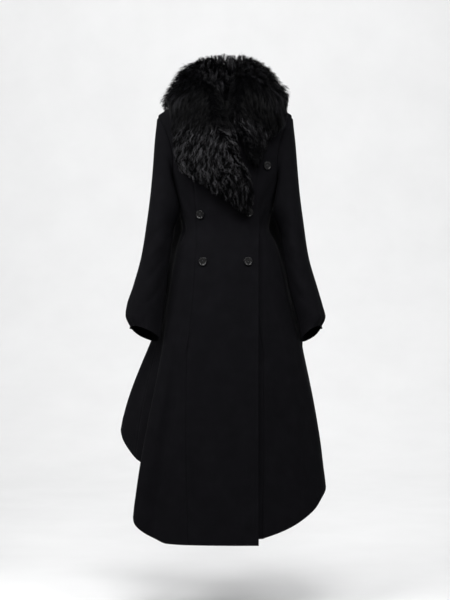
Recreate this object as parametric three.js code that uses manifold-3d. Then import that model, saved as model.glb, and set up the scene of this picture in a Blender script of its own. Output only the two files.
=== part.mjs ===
// A long double-breasted wool coat with a curly sheepskin shawl collar, worn on no one and hollow.
// Millimetres, +Z up. The front faces -Y and +X is on the right of someone who faces it.
// "Right" and "left" in the names are the wearer's: the right front laps over the left one.
// The origin is at the base of the neck, between the shoulders that carry the coat.
import * as THREE from "three";
import Module from "manifold-3d";
import { mergeVertices } from "three/addons/utils/BufferGeometryUtils.js";

// ---------------------------------------------------------------- driving dimensions
const CLOTH = 2.4; // the wool's wall
const SEAM = 0.3; // the gap that two pieces keep at a seam
const LAP = 4.8; // how far the right front lies over the left one, middle to middle
const FRONT_EDGE = 96; // the lapping edge's distance from the middle of the front
const BREAK_Z = -352; // where the front edge ends and the lapel turns
const SHOULDER = 139; // the shoulder seam's length, from the neck to the tip
const PRINCESS_TOP = -60; // how far down the shoulder seam the princess seam starts
const ROUND = 2.5; // the section's superellipse power: 2 is an ellipse
const ARMHOLE = { middle: -153, half: 101, sweep: 32 }; // heights, and degrees of the section
const UNDERARM_Z = ARMHOLE.middle - ARMHOLE.half;
const BUTTON = { radius: 12.3, thick: 4.2, rim: 2.1, dish: 1.3, foot: 7, sides: 18 };
const BUTTON_STAND = 0.5; // the thread's length between a button and the cloth
const BUTTON_ROOM = { below: 4, around: 1 }; // what the fur leaves free behind and around one

// Rows and columns of the panels' faces. Pieces that share a seam share its rows.
const ROWS = { skirt: 20, armhole: 9 };
const COLUMNS = { centre: 6, side: 8, back: 10 };
const SLEEVE_RINGS = 18;
const SLEEVE_LIP = 3.2; // the turned seam at the sleeve's head
const COLLAR = { stations: 34, under: 7, neck: 2, top: 8, lift: 3 }; // lift: off the cloth's middle

// The body's sections. Level is the way down from the neck along the shoulder and the side.
// The half widths are to the wearer's right and left, and the depths to the front and the back.
const SECTIONS = [
  { level: 0, z: 8, right: 72, left: 72, front: 62, back: 66 },
  { level: -30, z: -1, right: 99, left: 99, front: 75, back: 79 },
  { level: -60, z: -12, right: 127, left: 127, front: 85, back: 89 },
  { level: -100, z: -27, right: 163, left: 163, front: 95, back: 98 },
  { level: -125, z: -41, right: 187, left: 187, front: 101, back: 103 },
  { level: -139, z: -52, right: 199, left: 199, front: 104, back: 105 },
  { level: -187, z: -100, right: 192, left: 192, front: 114, back: 108 },
  { level: -240, z: -153, right: 180, left: 180, front: 123, back: 110 },
  { level: -292, z: -205, right: 168, left: 168, front: 129, back: 109 },
  { level: -342, z: -255, right: 158, left: 158, front: 128, back: 106 },
  { level: -407, z: -320, right: 141, left: 142, front: 119, back: 99 },
  { level: -471, z: -384, right: 127, left: 129, front: 111, back: 94 },
  { level: -525, z: -438, right: 141, left: 153, front: 115, back: 103 },
  { level: -600, z: -513, right: 156, left: 174, front: 122, back: 117 },
  { level: -687, z: -600, right: 168, left: 192, front: 129, back: 130 },
  { level: -813, z: -726, right: 187, left: 221, front: 138, back: 146 },
  { level: -1087, z: -1000, right: 224, left: 256, front: 156, back: 178 },
  { level: -1396, z: -1309, right: 258, left: 292, front: 172, back: 205 },
];

// The hem's height at each angle of the section: 0 is the front, 90 the wearer's left side.
const HEM = [
  { angle: -180, z: -1165 },
  { angle: -150, z: -1110 },
  { angle: -122, z: -1012 },
  { angle: -103, z: -998 },
  { angle: -97, z: -1032 },
  { angle: -90, z: -1074 },
  { angle: -82, z: -1104 },
  { angle: -74, z: -1162 },
  { angle: -66, z: -1222 },
  { angle: -60, z: -1256 },
  { angle: -48, z: -1292 },
  { angle: -36, z: -1308 },
  { angle: -22, z: -1309 },
  { angle: 10, z: -1309 },
  { angle: 16, z: -1292 },
  { angle: 20, z: -1286 },
  { angle: 32, z: -1269 },
  { angle: 46, z: -1246 },
  { angle: 62, z: -1214 },
  { angle: 74, z: -1178 },
  { angle: 88, z: -1150 },
  { angle: 100, z: -1128 },
  { angle: 122, z: -1105 },
  { angle: 150, z: -1125 },
  { angle: 180, z: -1165 },
];

// Soft folds that stand out of the section, or in where reach is negative.
// Each grows from its start to its full reach, and ends again where an end is given.
const FOLDS = [
  { angle: -62, spread: 12, reach: 52, start: -560, full: -1240 },
  { angle: -79, spread: 9, reach: -20, start: -600, full: -1100 },
  { angle: -105, spread: 15, reach: 108, start: -500, full: -1010 },
  { angle: -139, spread: 14, reach: 34, start: -640, full: -1150 },
  { angle: -168, spread: 11, reach: 26, start: -600, full: -1150 },
  { angle: 82, spread: 22, reach: 27, start: -640, full: -1050 },
  { angle: 124, spread: 14, reach: 30, start: -640, full: -1150 },
  { angle: 157, spread: 13, reach: 32, start: -600, full: -1150 },
  { angle: -123, spread: 15, reach: 60, start: -235, full: -400, end: -760 },
  { angle: 123, spread: 15, reach: 66, start: -235, full: -420, end: -860 },
  { angle: -70, spread: 7, reach: -7, start: -340, full: -400, end: -450 },
  { angle: -114, spread: 9, reach: 14, start: -250, full: -310, end: -400 },
  { angle: 114, spread: 9, reach: 14, start: -250, full: -320, end: -450 },
  { angle: -105, spread: 10, reach: 24, start: -430, full: -550, end: -700 },
  { angle: 105, spread: 10, reach: 26, start: -560, full: -660, end: -820 },
];

// The princess seam's distance from the middle at each height.
const PRINCESS = [
  { z: -12, x: 127 },
  { z: -27, x: 122 },
  { z: -52, x: 117 },
  { z: -120, x: 104 },
  { z: -205, x: 96 },
  { z: -300, x: 88 },
  { z: -384, x: 84 },
  { z: -540, x: 90 },
  { z: -700, x: 104 },
  { z: -760, x: 111 },
  { z: -1000, x: 113 },
  { z: -1309, x: 106 },
];

// The front's upper edge beside the fur, from the neck to the lapel's break.
const ROLL = [
  { x: -56, z: -6 },
  { x: -30, z: -30 },
  { x: 2, z: -72 },
  { x: 28, z: -128 },
  { x: 48, z: -195 },
  { x: 80, z: -262 },
  { x: FRONT_EDGE, z: BREAK_Z },
];

// The sleeve's outer and inner edges as seen from the front, from the armhole to the cuff.
// The cuff's middle lies cuffBack off the body's middle, towards the front where it is negative.
// Wrap is how far the tube's inner front laps over the body's side, just below the armhole.
const SLEEVE = {
  right: {
    outer: [
      { x: 206, z: -62 }, { x: 209, z: -110 }, { x: 213, z: -180 }, { x: 221, z: -276 },
      { x: 233, z: -372 }, { x: 248, z: -468 }, { x: 273, z: -560 }, { x: 290, z: -612 },
      { x: 294, z: -640 }, { x: 287, z: -664 }, { x: 277, z: -682 },
    ],
    inner: [
      { x: 163, z: -262 }, { x: 155, z: -300 }, { x: 152, z: -350 }, { x: 155, z: -396 },
      { x: 162, z: -450 }, { x: 172, z: -520 }, { x: 180, z: -600 }, { x: 186, z: -650 },
      { x: 189, z: -684 }, { x: 191, z: -704 }, { x: 192, z: -718 },
    ],
    cuffBack: -60,
    wrap: 38,
  },
  left: {
    outer: [
      { x: 206, z: -62 }, { x: 209, z: -110 }, { x: 214, z: -180 }, { x: 222, z: -276 },
      { x: 234, z: -372 }, { x: 248, z: -468 }, { x: 275, z: -564 }, { x: 290, z: -616 },
      { x: 297, z: -645 }, { x: 292, z: -664 }, { x: 284, z: -682 },
    ],
    inner: [
      { x: 163, z: -262 }, { x: 155, z: -300 }, { x: 156, z: -350 }, { x: 163, z: -396 },
      { x: 172, z: -450 }, { x: 183, z: -520 }, { x: 200, z: -600 }, { x: 213, z: -650 },
      { x: 221, z: -684 }, { x: 225, z: -704 }, { x: 227, z: -718 },
    ],
    cuffBack: -42,
    wrap: 30,
  },
};
// Half depths of the tube, and how far the cuff's front stands lower than its back.
const SLEEVE_DEPTH = { armhole: 74, elbow: 66, cuff: 50, slant: 0.33 };
const SLEEVE_BEND = { sway: 1.2, slant: 6 }; // powers: how late the sway and the slant set in
const SLEEVE_HANG = { from: -0.03, to: 0.17 }; // the stretch in which the seat turns into the tube
const SLEEVE_WRAP = { from: 0.02, full: 0.2, to: 0.32 }; // the stretch that laps over the side

// The collar's stations, from the middle of the back to the lapel's tip.
// Outer and neck are the fur's two edges on the coat: an angle and a level, or x and z in front.
// Edge, puff and rise are the fur's height at the outer edge, in between and at the neck.
const COLLAR_BACK = [
  { outer: [180, -150], neck: [180, 0], edge: 26, puff: 16, rise: 122, upright: 0.9 },
  { outer: [150, -140], neck: [150, 0], edge: 26, puff: 16, rise: 122, upright: 0.9 },
  { outer: [122, -126], neck: [122, 0], edge: 25, puff: 16, rise: 113, upright: 0.9 },
  { outer: [104, -110], neck: [104, 0], edge: 24, puff: 15, rise: 101, upright: 0.9 },
  { outer: [86, -106], neck: [86, 0], edge: 24, puff: 15, rise: 94, upright: 0.9 },
  { outer: [70, -112], neck: [73, 0], edge: 24, puff: 15, rise: 85, upright: 0.85 },
];
const COLLAR_FRONT = {
  right: [
    { outer: { x: 148, z: -54 }, neck: { x: 66, z: 6 }, edge: 24, puff: 16, rise: 74, upright: 0.8 },
    { outer: { x: 144, z: -82 }, neck: { x: 48, z: 2 }, edge: 24, puff: 18, rise: 46, upright: 0.6 },
    { outer: { x: 139, z: -113 }, neck: { x: 20, z: -14 }, edge: 23, puff: 18, rise: 32, upright: 0.3 },
    { outer: { x: 132, z: -148 }, neck: { x: -4, z: -52 }, edge: 22, puff: 18, rise: 26, upright: 0 },
    { outer: { x: 126, z: -181 }, neck: { x: -12, z: -80 }, edge: 22, puff: 18, rise: 24, upright: 0 },
    { outer: { x: 120, z: -208 }, neck: { x: -30, z: -117 }, edge: 21, puff: 18, rise: 23, upright: 0 },
    { outer: { x: 98, z: -232 }, neck: { x: -36, z: -156 }, edge: 20, puff: 18, rise: 22, upright: 0 },
    { outer: { x: 62, z: -258 }, neck: { x: -46, z: -196 }, edge: 20, puff: 16, rise: 21, upright: 0 },
    { outer: { x: 24, z: -283 }, neck: { x: -62, z: -230 }, edge: 19, puff: 14, rise: 20, upright: 0 },
    { outer: { x: -8, z: -306 }, neck: { x: -71, z: -262 }, edge: 18, puff: 12, rise: 19, upright: 0 },
    { outer: { x: -32, z: -325 }, neck: { x: -73, z: -292 }, edge: 17, puff: 10, rise: 18, upright: 0 },
    { outer: { x: -48, z: -337 }, neck: { x: -70, z: -318 }, edge: 16, puff: 7, rise: 16, upright: 0 },
    { outer: { x: -60, z: -344 }, neck: { x: -66, z: -338 }, edge: 14, puff: 4, rise: 14, upright: 0 },
  ],
  left: [
    { outer: { x: 158, z: -52 }, neck: { x: 66, z: 6 }, edge: 24, puff: 16, rise: 78, upright: 0.8 },
    { outer: { x: 156, z: -76 }, neck: { x: 44, z: 1 }, edge: 24, puff: 16, rise: 72, upright: 0.7 },
    { outer: { x: 148, z: -100 }, neck: { x: 24, z: -8 }, edge: 23, puff: 15, rise: 54, upright: 0.6 },
    { outer: { x: 132, z: -118 }, neck: { x: 8, z: -42 }, edge: 21, puff: 13, rise: 28, upright: 0 },
    { outer: { x: 114, z: -134 }, neck: { x: 19, z: -80 }, edge: 19, puff: 11, rise: 22, upright: 0 },
    { outer: { x: 106, z: -160 }, neck: { x: 42, z: -122 }, edge: 17, puff: 9, rise: 20, upright: 0 },
    { outer: { x: 98, z: -188 }, neck: { x: 54, z: -160 }, edge: 16, puff: 7, rise: 17, upright: 0 },
    { outer: { x: 86, z: -206 }, neck: { x: 66, z: -196 }, edge: 14, puff: 3, rise: 14, upright: 0 },
  ],
};

// The buttons' middles on the front. The upper pair stands wider apart.
const BUTTONS = [
  { name: "button_upper_right", x: -121, z: -208, under: "right" },
  { name: "button_upper_left", x: 122, z: -205 },
  { name: "button_middle_right", x: -72, z: -349, lapped: true },
  { name: "button_middle_left", x: 68, z: -342, lapped: true, under: "right" },
  { name: "button_lower_right", x: -64, z: -488, lapped: true },
  { name: "button_lower_left", x: 66, z: -488, lapped: true },
];

const COLOURS = { wool: 0x17181b, fur: 0x0d0d0f, button: 0x111113 };

// ---------------------------------------------------------------- curves
const degrees = THREE.MathUtils.degToRad;
const mix = THREE.MathUtils.lerp;
const clamp = THREE.MathUtils.clamp;

// A smooth curve through a table's points that never overshoots them.
function curve(table, by, of) {
  const points = table.map((row) => [row[by], row[of]]).sort((p, q) => p[0] - q[0]);
  const slopes = points.slice(1).map((p, i) => (p[1] - points[i][1]) / (p[0] - points[i][0]));
  const tangents = points.map((_, i) => {
    const before = slopes[i - 1] ?? slopes[i];
    const after = slopes[i] ?? slopes[i - 1];
    return before * after <= 0 ? 0 : (2 * before * after) / (before + after);
  });
  return (at) => {
    const x = clamp(at, points[0][0], points.at(-1)[0]);
    const i = clamp(points.findIndex((p) => p[0] > x) - 1, 0, points.length - 2);
    const last = x >= points.at(-1)[0];
    const k = last ? points.length - 2 : i;
    const step = points[k + 1][0] - points[k][0];
    const t = (x - points[k][0]) / step;
    const rise = t * t * (3 - 2 * t);
    return (
      mix(points[k][1], points[k + 1][1], rise) +
      step * t * (1 - t) * ((1 - t) * tangents[k] - t * tangents[k + 1])
    );
  };
}

// The same through the rows of a list, with its rows spread evenly over 0 to 1.
function alongRows(rows, of) {
  const points = rows.map((row, i) => ({ at: i / (rows.length - 1), value: of(row) }));
  return curve(points, "at", "value");
}

const heightOf = curve(SECTIONS, "level", "z");
const levelOf = curve(SECTIONS, "z", "level");
const widthTo = {
  right: curve(SECTIONS, "level", "right"),
  left: curve(SECTIONS, "level", "left"),
};
const depthTo = {
  front: curve(SECTIONS, "level", "front"),
  back: curve(SECTIONS, "level", "back"),
};
const hemAt = curve(HEM, "angle", "z");
const princessAt = curve(PRINCESS, "z", "x");

// ---------------------------------------------------------------- the body's surface
const signedPower = (value) => Math.sign(value) * Math.abs(value) ** (2 / ROUND);
const turn = (angle) => ((((angle + 180) % 360) + 360) % 360) - 180;

function foldReach(angle, z) {
  return FOLDS.reduce((sum, fold) => {
    const away = turn(angle - fold.angle) / fold.spread;
    const grown = THREE.MathUtils.smoothstep(-z, -fold.start, -fold.full);
    const left = fold.end ? 1 - THREE.MathUtils.smoothstep(-z, -fold.full, -fold.end) : 1;
    return sum + fold.reach * grown * left * Math.exp(-away * away);
  }, 0);
}

// A point of the cloth's middle at an angle of the section and a level down the side.
function body(angle, level, out = 0) {
  const z = heightOf(level);
  const width = angle < 0 && angle > -180 ? widthTo.right(level) : widthTo.left(level);
  const depth = Math.abs(angle) < 90 ? depthTo.front(level) : depthTo.back(level);
  const across = signedPower(Math.sin(degrees(angle)));
  const forward = signedPower(Math.cos(degrees(angle)));
  const outward = new THREE.Vector2(across / width, -forward / depth).normalize();
  const reach = foldReach(angle, z) + out;
  return new THREE.Vector3(width * across + outward.x * reach, -depth * forward + outward.y * reach, z);
}

// The angle on the front where the section reaches x.
function angleOf(x, level) {
  const width = x < 0 ? widthTo.right(level) : widthTo.left(level);
  const share = Math.min(Math.abs(x) / width, 1) ** (ROUND / 2);
  return (Math.sign(x) * Math.asin(share) * 180) / Math.PI;
}

// The body's direction away from the wearer, worked out from its two slopes.
const SLOPE_STEP = 0.5; // degrees, and mm of level
function bodyNormal(angle, level) {
  const around = body(angle + SLOPE_STEP, level).sub(body(angle - SLOPE_STEP, level));
  const up = body(angle, level + SLOPE_STEP).sub(body(angle, level - SLOPE_STEP));
  return around.cross(up).normalize();
}

// How far the lapping front stands off the body's surface: nothing at its seam, all at its edge.
const LAP_RISE = { from: -100, to: 86 }; // across the front
function lapAt(angle, level) {
  return LAP * THREE.MathUtils.smoothstep(body(angle, level).x, LAP_RISE.from, LAP_RISE.to);
}

// ---------------------------------------------------------------- meshes
const flat = (list) => list.flat(Infinity);

// The normals of a grid of points, from each point's neighbours.
function gridNormals(grid, closed) {
  const rows = grid.length;
  const columns = grid[0].length;
  const column = (i) => (closed ? (i + columns) % columns : clamp(i, 0, columns - 1));
  return grid.map((row, j) =>
    row.map((_, i) => {
      const around = new THREE.Vector3().subVectors(row[column(i + 1)], row[column(i - 1)]);
      const above = grid[Math.min(j + 1, rows - 1)][i];
      const below = grid[Math.max(j - 1, 0)][i];
      return around.cross(new THREE.Vector3().subVectors(above, below)).normalize();
    }),
  );
}

function geometryOf(points, faces) {
  const geometry = new THREE.BufferGeometry();
  const position = new THREE.Float32BufferAttribute(points.flatMap((p) => p.toArray()), 3);
  geometry.setAttribute("position", position);
  geometry.setIndex(flat(faces));
  geometry.computeVertexNormals();
  return geometry;
}

// A wall of cloth on both sides of a grid of points. Closed joins its last column to its first.
function wall(grid, normals, closed = false) {
  const rows = grid.length;
  const columns = grid[0].length;
  const skin = (side) =>
    grid.flatMap((row, j) =>
      row.map((p, i) => p.clone().addScaledVector(normals[j][i], (side * CLOTH) / 2)),
    );
  const outer = (j, i) => j * columns + (i % columns);
  const inner = (j, i) => rows * columns + outer(j, i);
  const spans = closed ? columns : columns - 1;
  const faces = [];
  const quad = (a, b, c, d) => faces.push([a, b, c], [a, c, d]);
  for (let j = 0; j < rows - 1; j++) {
    for (let i = 0; i < spans; i++) {
      quad(outer(j, i), outer(j, i + 1), outer(j + 1, i + 1), outer(j + 1, i));
      quad(inner(j, i), inner(j + 1, i), inner(j + 1, i + 1), inner(j, i + 1));
    }
  }
  for (let i = 0; i < spans; i++) {
    quad(outer(0, i), inner(0, i), inner(0, i + 1), outer(0, i + 1));
    quad(outer(rows - 1, i), outer(rows - 1, i + 1), inner(rows - 1, i + 1), inner(rows - 1, i));
  }
  for (let j = 0; j < rows - 1 && !closed; j++) {
    const end = columns - 1;
    quad(outer(j, 0), outer(j + 1, 0), inner(j + 1, 0), inner(j, 0));
    quad(outer(j, end), inner(j, end), inner(j + 1, end), outer(j + 1, end));
  }
  return geometryOf([...skin(1), ...skin(-1)], faces);
}

// A solid through closed rings of points, with a fan of faces over each end.
function loft(rings) {
  const count = rings[0].length;
  const at = (j, i) => j * count + (i % count);
  const sumOf = (ring) => ring.reduce((sum, p) => sum.add(p), new THREE.Vector3());
  const middle = (ring) => sumOf(ring).divideScalar(count);
  const first = rings.length * count;
  const faces = [];
  for (let j = 0; j < rings.length - 1; j++) {
    for (let i = 0; i < count; i++) {
      faces.push([at(j, i), at(j, i + 1), at(j + 1, i + 1)], [at(j, i), at(j + 1, i + 1), at(j + 1, i)]);
    }
  }
  for (let i = 0; i < count; i++) {
    faces.push([first, at(0, i + 1), at(0, i)]);
    faces.push([first + 1, at(rings.length - 1, i), at(rings.length - 1, i + 1)]);
  }
  return geometryOf([...rings.flat(), middle(rings[0]), middle(rings.at(-1))], faces);
}

// Draws a grid's border in by half the gap of a seam.
function drawIn(grid) {
  const toward = (p, q) => p.add(new THREE.Vector3().subVectors(q, p).setLength(SEAM / 2));
  for (const row of grid) {
    toward(row[0], row[1]);
    toward(row.at(-1), row.at(-2));
  }
  grid[0].forEach((p, i) => toward(p, grid[1][i]));
  grid.at(-1).forEach((p, i) => toward(p, grid.at(-2)[i]));
  return grid;
}

// ---------------------------------------------------------------- panels
const EDGE_FADE = 3; // how fast the shapes of the hem and the top edge fade into the panel

// A panel is a patch between four edges. Each edge gives an angle and a level of the body.
function panel({ hem, top, before, after, columns, out = () => 0 }) {
  const rows = ROWS.skirt + ROWS.armhole;
  const grid = [];
  const normals = [];
  for (let j = 0; j <= rows; j++) {
    const v = j / rows;
    grid.push([]);
    normals.push([]);
    for (let i = 0; i <= columns; i++) {
      const u = i / columns;
      const place = [0, 1].map((k) => {
        const bottom = hem(u)[k] - mix(before(0)[k], after(0)[k], u);
        const crest = top(u)[k] - mix(before(1)[k], after(1)[k], u);
        const across = mix(before(v)[k], after(v)[k], u);
        return across + bottom * (1 - v) ** EDGE_FADE + crest * v ** EDGE_FADE;
      });
      grid[j].push(body(...place, out(...place)));
      normals[j].push(bodyNormal(...place));
    }
  }
  return wall(drawIn(grid), normals);
}

const UNDERARM = levelOf(UNDERARM_Z);
const SKIRT_SHARE = ROWS.skirt / (ROWS.skirt + ROWS.armhole);
const NECK_LEVEL = SECTIONS[0].level;
const SHOULDER_SHARE = 0.6; // the shoulder seam's share of the back's upper edge

// The armhole's edge, from the underarm (0) to the shoulder tip (1).
// Side is -1 on the wearer's right and 1 on the left, and facing is -1 in front and 1 behind.
// Size is the curve's share of the full armhole.
function armhole(side, facing, share, size = 1) {
  const around = Math.PI * share;
  const z = ARMHOLE.middle - ARMHOLE.half * size * Math.cos(around);
  return [side * (90 + facing * ARMHOLE.sweep * size * Math.sin(around)), levelOf(z)];
}

// The side seam from the hem to the underarm, and from there the armhole's front or back edge.
function sideEdge(side, facing) {
  const hem = levelOf(hemAt(side * 90));
  return (v) =>
    v < SKIRT_SHARE
      ? [side * 90, mix(hem, UNDERARM, v / SKIRT_SHARE)]
      : armhole(side, facing, (v - SKIRT_SHARE) / (1 - SKIRT_SHARE));
}

// The princess seam, from the hem to the shoulder seam.
function princessEdge(side) {
  const lowest = PRINCESS.at(-1);
  const hem = levelOf(hemAt(angleOf(side * lowest.x, levelOf(lowest.z))));
  return (v) => {
    const level =
      v < SKIRT_SHARE
        ? mix(hem, UNDERARM, v / SKIRT_SHARE)
        : mix(UNDERARM, PRINCESS_TOP, (v - SKIRT_SHARE) / (1 - SKIRT_SHARE));
    return [angleOf(side * princessAt(heightOf(level)), level), level];
  };
}

// The hem between two angles.
function hemEdge(from, to) {
  return (u) => {
    const angle = mix(from, to, u);
    return [angle, levelOf(hemAt(angle))];
  };
}

// The shoulder seam between two levels.
function shoulderEdge(side, from, to) {
  return (u) => [side * 90, mix(from, to, u)];
}

function mirrored(edge) {
  return (u) => edge(1 - u);
}

// The lapping edge of a front, from the hem to the break, and from there its upper edge to the neck.
function frontEdge(side) {
  const seam = princessEdge(side);
  const breakLevel = levelOf(BREAK_Z);
  const breakShare = SKIRT_SHARE * (breakLevel - seam(0)[1]) / (UNDERARM - seam(0)[1]);
  const upper = [...ROLL].reverse().map(({ x, z }) => [angleOf(-side * x, levelOf(z)), levelOf(z)]);
  upper.push([side * 90, NECK_LEVEL]);
  const rollAngle = alongRows(upper, (row) => row[0]);
  const rollLevel = alongRows(upper, (row) => row[1]);
  return (v) => {
    const share = (v - breakShare) / (1 - breakShare);
    if (share > 0) return [rollAngle(share), rollLevel(share)];
    return [angleOf(-side * FRONT_EDGE, seam(v)[1]), seam(v)[1]];
  };
}

// One centre panel of the front, from its own princess seam to its edge beyond the middle.
function frontCentre(side, out) {
  const seam = princessEdge(side);
  const edge = frontEdge(side);
  const hem = (u) => [mix(seam(0)[0], edge(0)[0], u), seam(0)[1]];
  const top = shoulderEdge(side, PRINCESS_TOP, NECK_LEVEL);
  const columns = COLUMNS.centre;
  return side < 0
    ? { before: seam, after: edge, hem, top, columns, out }
    : { before: edge, after: seam, hem: mirrored(hem), top: mirrored(top), columns, out };
}

function frontSide(side) {
  const seam = princessEdge(side);
  const edge = sideEdge(side, -1);
  const free = hemEdge(seam(0)[0], side * 90);
  const hem = (u) => (u > 0 ? free(u) : seam(0));
  const top = shoulderEdge(side, PRINCESS_TOP, -SHOULDER);
  return side > 0
    ? { before: seam, after: edge, hem, top, columns: COLUMNS.side }
    : { before: edge, after: seam, hem: mirrored(hem), top: mirrored(top), columns: COLUMNS.side };
}

function back(side) {
  const edge = sideEdge(side, 1);
  const hem = hemEdge(side * 90, side * 180);
  const seam = (v) => [side * 180, mix(hem(1)[1], NECK_LEVEL, v)];
  const top = (u) =>
    u < SHOULDER_SHARE
      ? [side * 90, mix(-SHOULDER, NECK_LEVEL, u / SHOULDER_SHARE)]
      : [side * mix(90, 180, (u - SHOULDER_SHARE) / (1 - SHOULDER_SHARE)), NECK_LEVEL];
  return side > 0
    ? { before: edge, after: seam, hem, top, columns: COLUMNS.back }
    : { before: seam, after: edge, hem: mirrored(hem), top: mirrored(top), columns: COLUMNS.back };
}

// ---------------------------------------------------------------- sleeves
// A tube from the armhole to the slanted cuff, open at both ends.
function sleeve(side) {
  const { outer, inner, cuffBack, wrap } = side < 0 ? SLEEVE.right : SLEEVE.left;
  const inwards = 0.97; // the smaller armhole that shows the way into the opening
  const [outerX, outerZ, innerX, innerZ] = [
    alongRows(outer, (p) => p.x),
    alongRows(outer, (p) => p.z),
    alongRows(inner, (p) => p.x),
    alongRows(inner, (p) => p.z),
  ];
  const count = 2 * ROWS.armhole;
  const seat = [];
  const lip = [];
  for (let i = 0; i < count; i++) {
    // From the shoulder tip over the back to the underarm, and up the front again.
    const facing = i < ROWS.armhole ? 1 : -1;
    const share = Math.abs(1 - i / ROWS.armhole);
    const edge = body(...armhole(side, facing, share));
    const normal = bodyNormal(...armhole(side, facing, share));
    const into = body(...armhole(side, facing, share, inwards)).sub(edge).normalize();
    const place = edge.addScaledVector(into, CLOTH / 2 + 3 * SEAM);
    const away = normal.lerp(into, share ** 3).normalize();
    seat.push(place);
    lip.push(place.clone().addScaledVector(away, SLEEVE_LIP));
  }
  const rings = [seat, lip];
  const { smoothstep } = THREE.MathUtils;
  for (let j = 1; j <= SLEEVE_RINGS; j++) {
    const down = j / SLEEVE_RINGS;
    const lapping = smoothstep(down, SLEEVE_WRAP.from, SLEEVE_WRAP.full);
    const wrapped = wrap * lapping * (1 - smoothstep(down, SLEEVE_WRAP.full, SLEEVE_WRAP.to));
    const ring = [];
    for (let i = 0; i < count; i++) {
      const around = (2 * Math.PI * i) / count;
      const depth =
        down < 0.5
          ? mix(SLEEVE_DEPTH.armhole, SLEEVE_DEPTH.elbow, down * 2)
          : mix(SLEEVE_DEPTH.elbow, SLEEVE_DEPTH.cuff, (down * 2 - 1) ** 2);
      const y = depth * Math.sin(around);
      const inside = (1 - Math.cos(around)) / 2;
      const slant = SLEEVE_DEPTH.slant * down ** SLEEVE_BEND.slant;
      const hung = smoothstep(down, SLEEVE_HANG.from, SLEEVE_HANG.to);
      const inFront = Math.max(0, -Math.sin(around));
      const hang = new THREE.Vector3(
        side * (mix(outerX(down), innerX(down), inside) - wrapped * inside * inFront),
        cuffBack * down ** SLEEVE_BEND.sway + y,
        mix(outerZ(down), innerZ(down), inside) - slant * y,
      );
      ring.push(lip[i].clone().lerp(hang, hung));
    }
    rings.push(ring);
  }
  const grid = rings.reverse().map((ring) => (side > 0 ? ring : ring.reverse()));
  return wall(grid, gridNormals(grid, true), true);
}

// ---------------------------------------------------------------- collar
// A place on the front, or at an angle round the neck, as an angle and a level of the body.
function collarPlace(place, side) {
  if (Array.isArray(place)) return [side * place[0], place[1]];
  const level = levelOf(place.z);
  return [angleOf(side * place.x, level), level];
}

function collar(side) {
  const front = side < 0 ? COLLAR_FRONT.right : COLLAR_FRONT.left;
  const stations = [...COLLAR_BACK, ...front].map((station) => ({
    ...station,
    outer: collarPlace(station.outer, side),
    neck: collarPlace(station.neck, side),
  }));
  const pick = (of) => alongRows(stations, of);
  const [outerAngle, outerLevel] = [0, 1].map((k) => pick((s) => s.outer[k]));
  const [neckAngle, neckLevel] = [0, 1].map((k) => pick((s) => s.neck[k]));
  const heights = ["edge", "puff", "rise", "upright"];
  const [edge, puff, rise, upright] = heights.map((key) => pick((s) => s[key]));
  const up = new THREE.Vector3(0, 0, 1);
  const rings = [];
  for (let j = 0; j <= COLLAR.stations; j++) {
    const v = j / COLLAR.stations;
    const at = (u, height) => {
      const place = [mix(outerAngle(v), neckAngle(v), u), mix(outerLevel(v), neckLevel(v), u)];
      const normal = bodyNormal(...place);
      const base = body(...place).addScaledVector(normal, COLLAR.lift + lapAt(...place));
      const rising = normal.clone().lerp(up, upright(v) * u).normalize();
      return base.addScaledVector(rising, height);
    };
    const slope = (u) => mix(edge(v), rise(v), THREE.MathUtils.smoothstep(u, 0, 1));
    const fur = (u) => slope(u) + puff(v) * 4 * u * (1 - u);
    const ring = [];
    for (let i = 0; i <= COLLAR.under; i++) ring.push(at(i / COLLAR.under, 0));
    for (let i = 1; i <= COLLAR.neck; i++) ring.push(at(1, (fur(1) * i) / (COLLAR.neck + 1)));
    for (let i = 0; i <= COLLAR.top; i++) ring.push(at(1 - i / COLLAR.top, fur(1 - i / COLLAR.top)));
    ring.forEach((p) => (p.x += j === 0 ? (side * SEAM) / 2 : 0));
    rings.push(side < 0 ? ring : ring.reverse());
  }
  return loft(rings);
}

// ---------------------------------------------------------------- cuts
const library = await Module();
library.setup();

function solidOf(geometry) {
  const bare = geometry.clone();
  bare.deleteAttribute("normal");
  bare.deleteAttribute("uv");
  const merged = mergeVertices(bare);
  return new library.Manifold(
    new library.Mesh({
      numProp: 3,
      vertProperties: new Float32Array(merged.attributes.position.array),
      triVerts: new Uint32Array(merged.index.array),
    }),
  );
}

// One geometry without the room that others take.
function without(geometry, others) {
  const left = others.reduce((rest, other) => rest.subtract(solidOf(other)), solidOf(geometry));
  const { vertProperties, triVerts } = left.getMesh();
  const cut = new THREE.BufferGeometry();
  cut.setAttribute("position", new THREE.BufferAttribute(vertProperties, 3));
  cut.setIndex(new THREE.BufferAttribute(triVerts, 1));
  return cut;
}

// ---------------------------------------------------------------- buttons
// A turned disc with a raised rim, its back towards the cloth.
function button() {
  const { radius, thick, rim, dish, foot, sides } = BUTTON;
  const profile = [
    [0, 0],
    [foot, 0],
    [radius, thick * 0.4],
    [radius, thick * 0.75],
    [radius - rim * 0.5, thick],
    [radius - rim, thick - dish * 0.4],
    [radius - rim * 1.8, thick - dish],
    [0, thick - dish],
  ].map(([x, y]) => new THREE.Vector2(x, y));
  return new THREE.LatheGeometry(profile, sides).rotateX(Math.PI / 2);
}

// The room that the fur leaves over a button.
function buttonRoom() {
  const { radius, thick, sides } = BUTTON;
  const wide = radius + BUTTON_ROOM.around;
  const low = -BUTTON_ROOM.below;
  const high = thick + BUTTON_ROOM.around;
  const corners = [[0, low], [wide, low], [wide, high], [0, high]];
  const profile = corners.map(([x, y]) => new THREE.Vector2(x, y));
  return new THREE.LatheGeometry(profile, sides).rotateX(Math.PI / 2);
}

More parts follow.
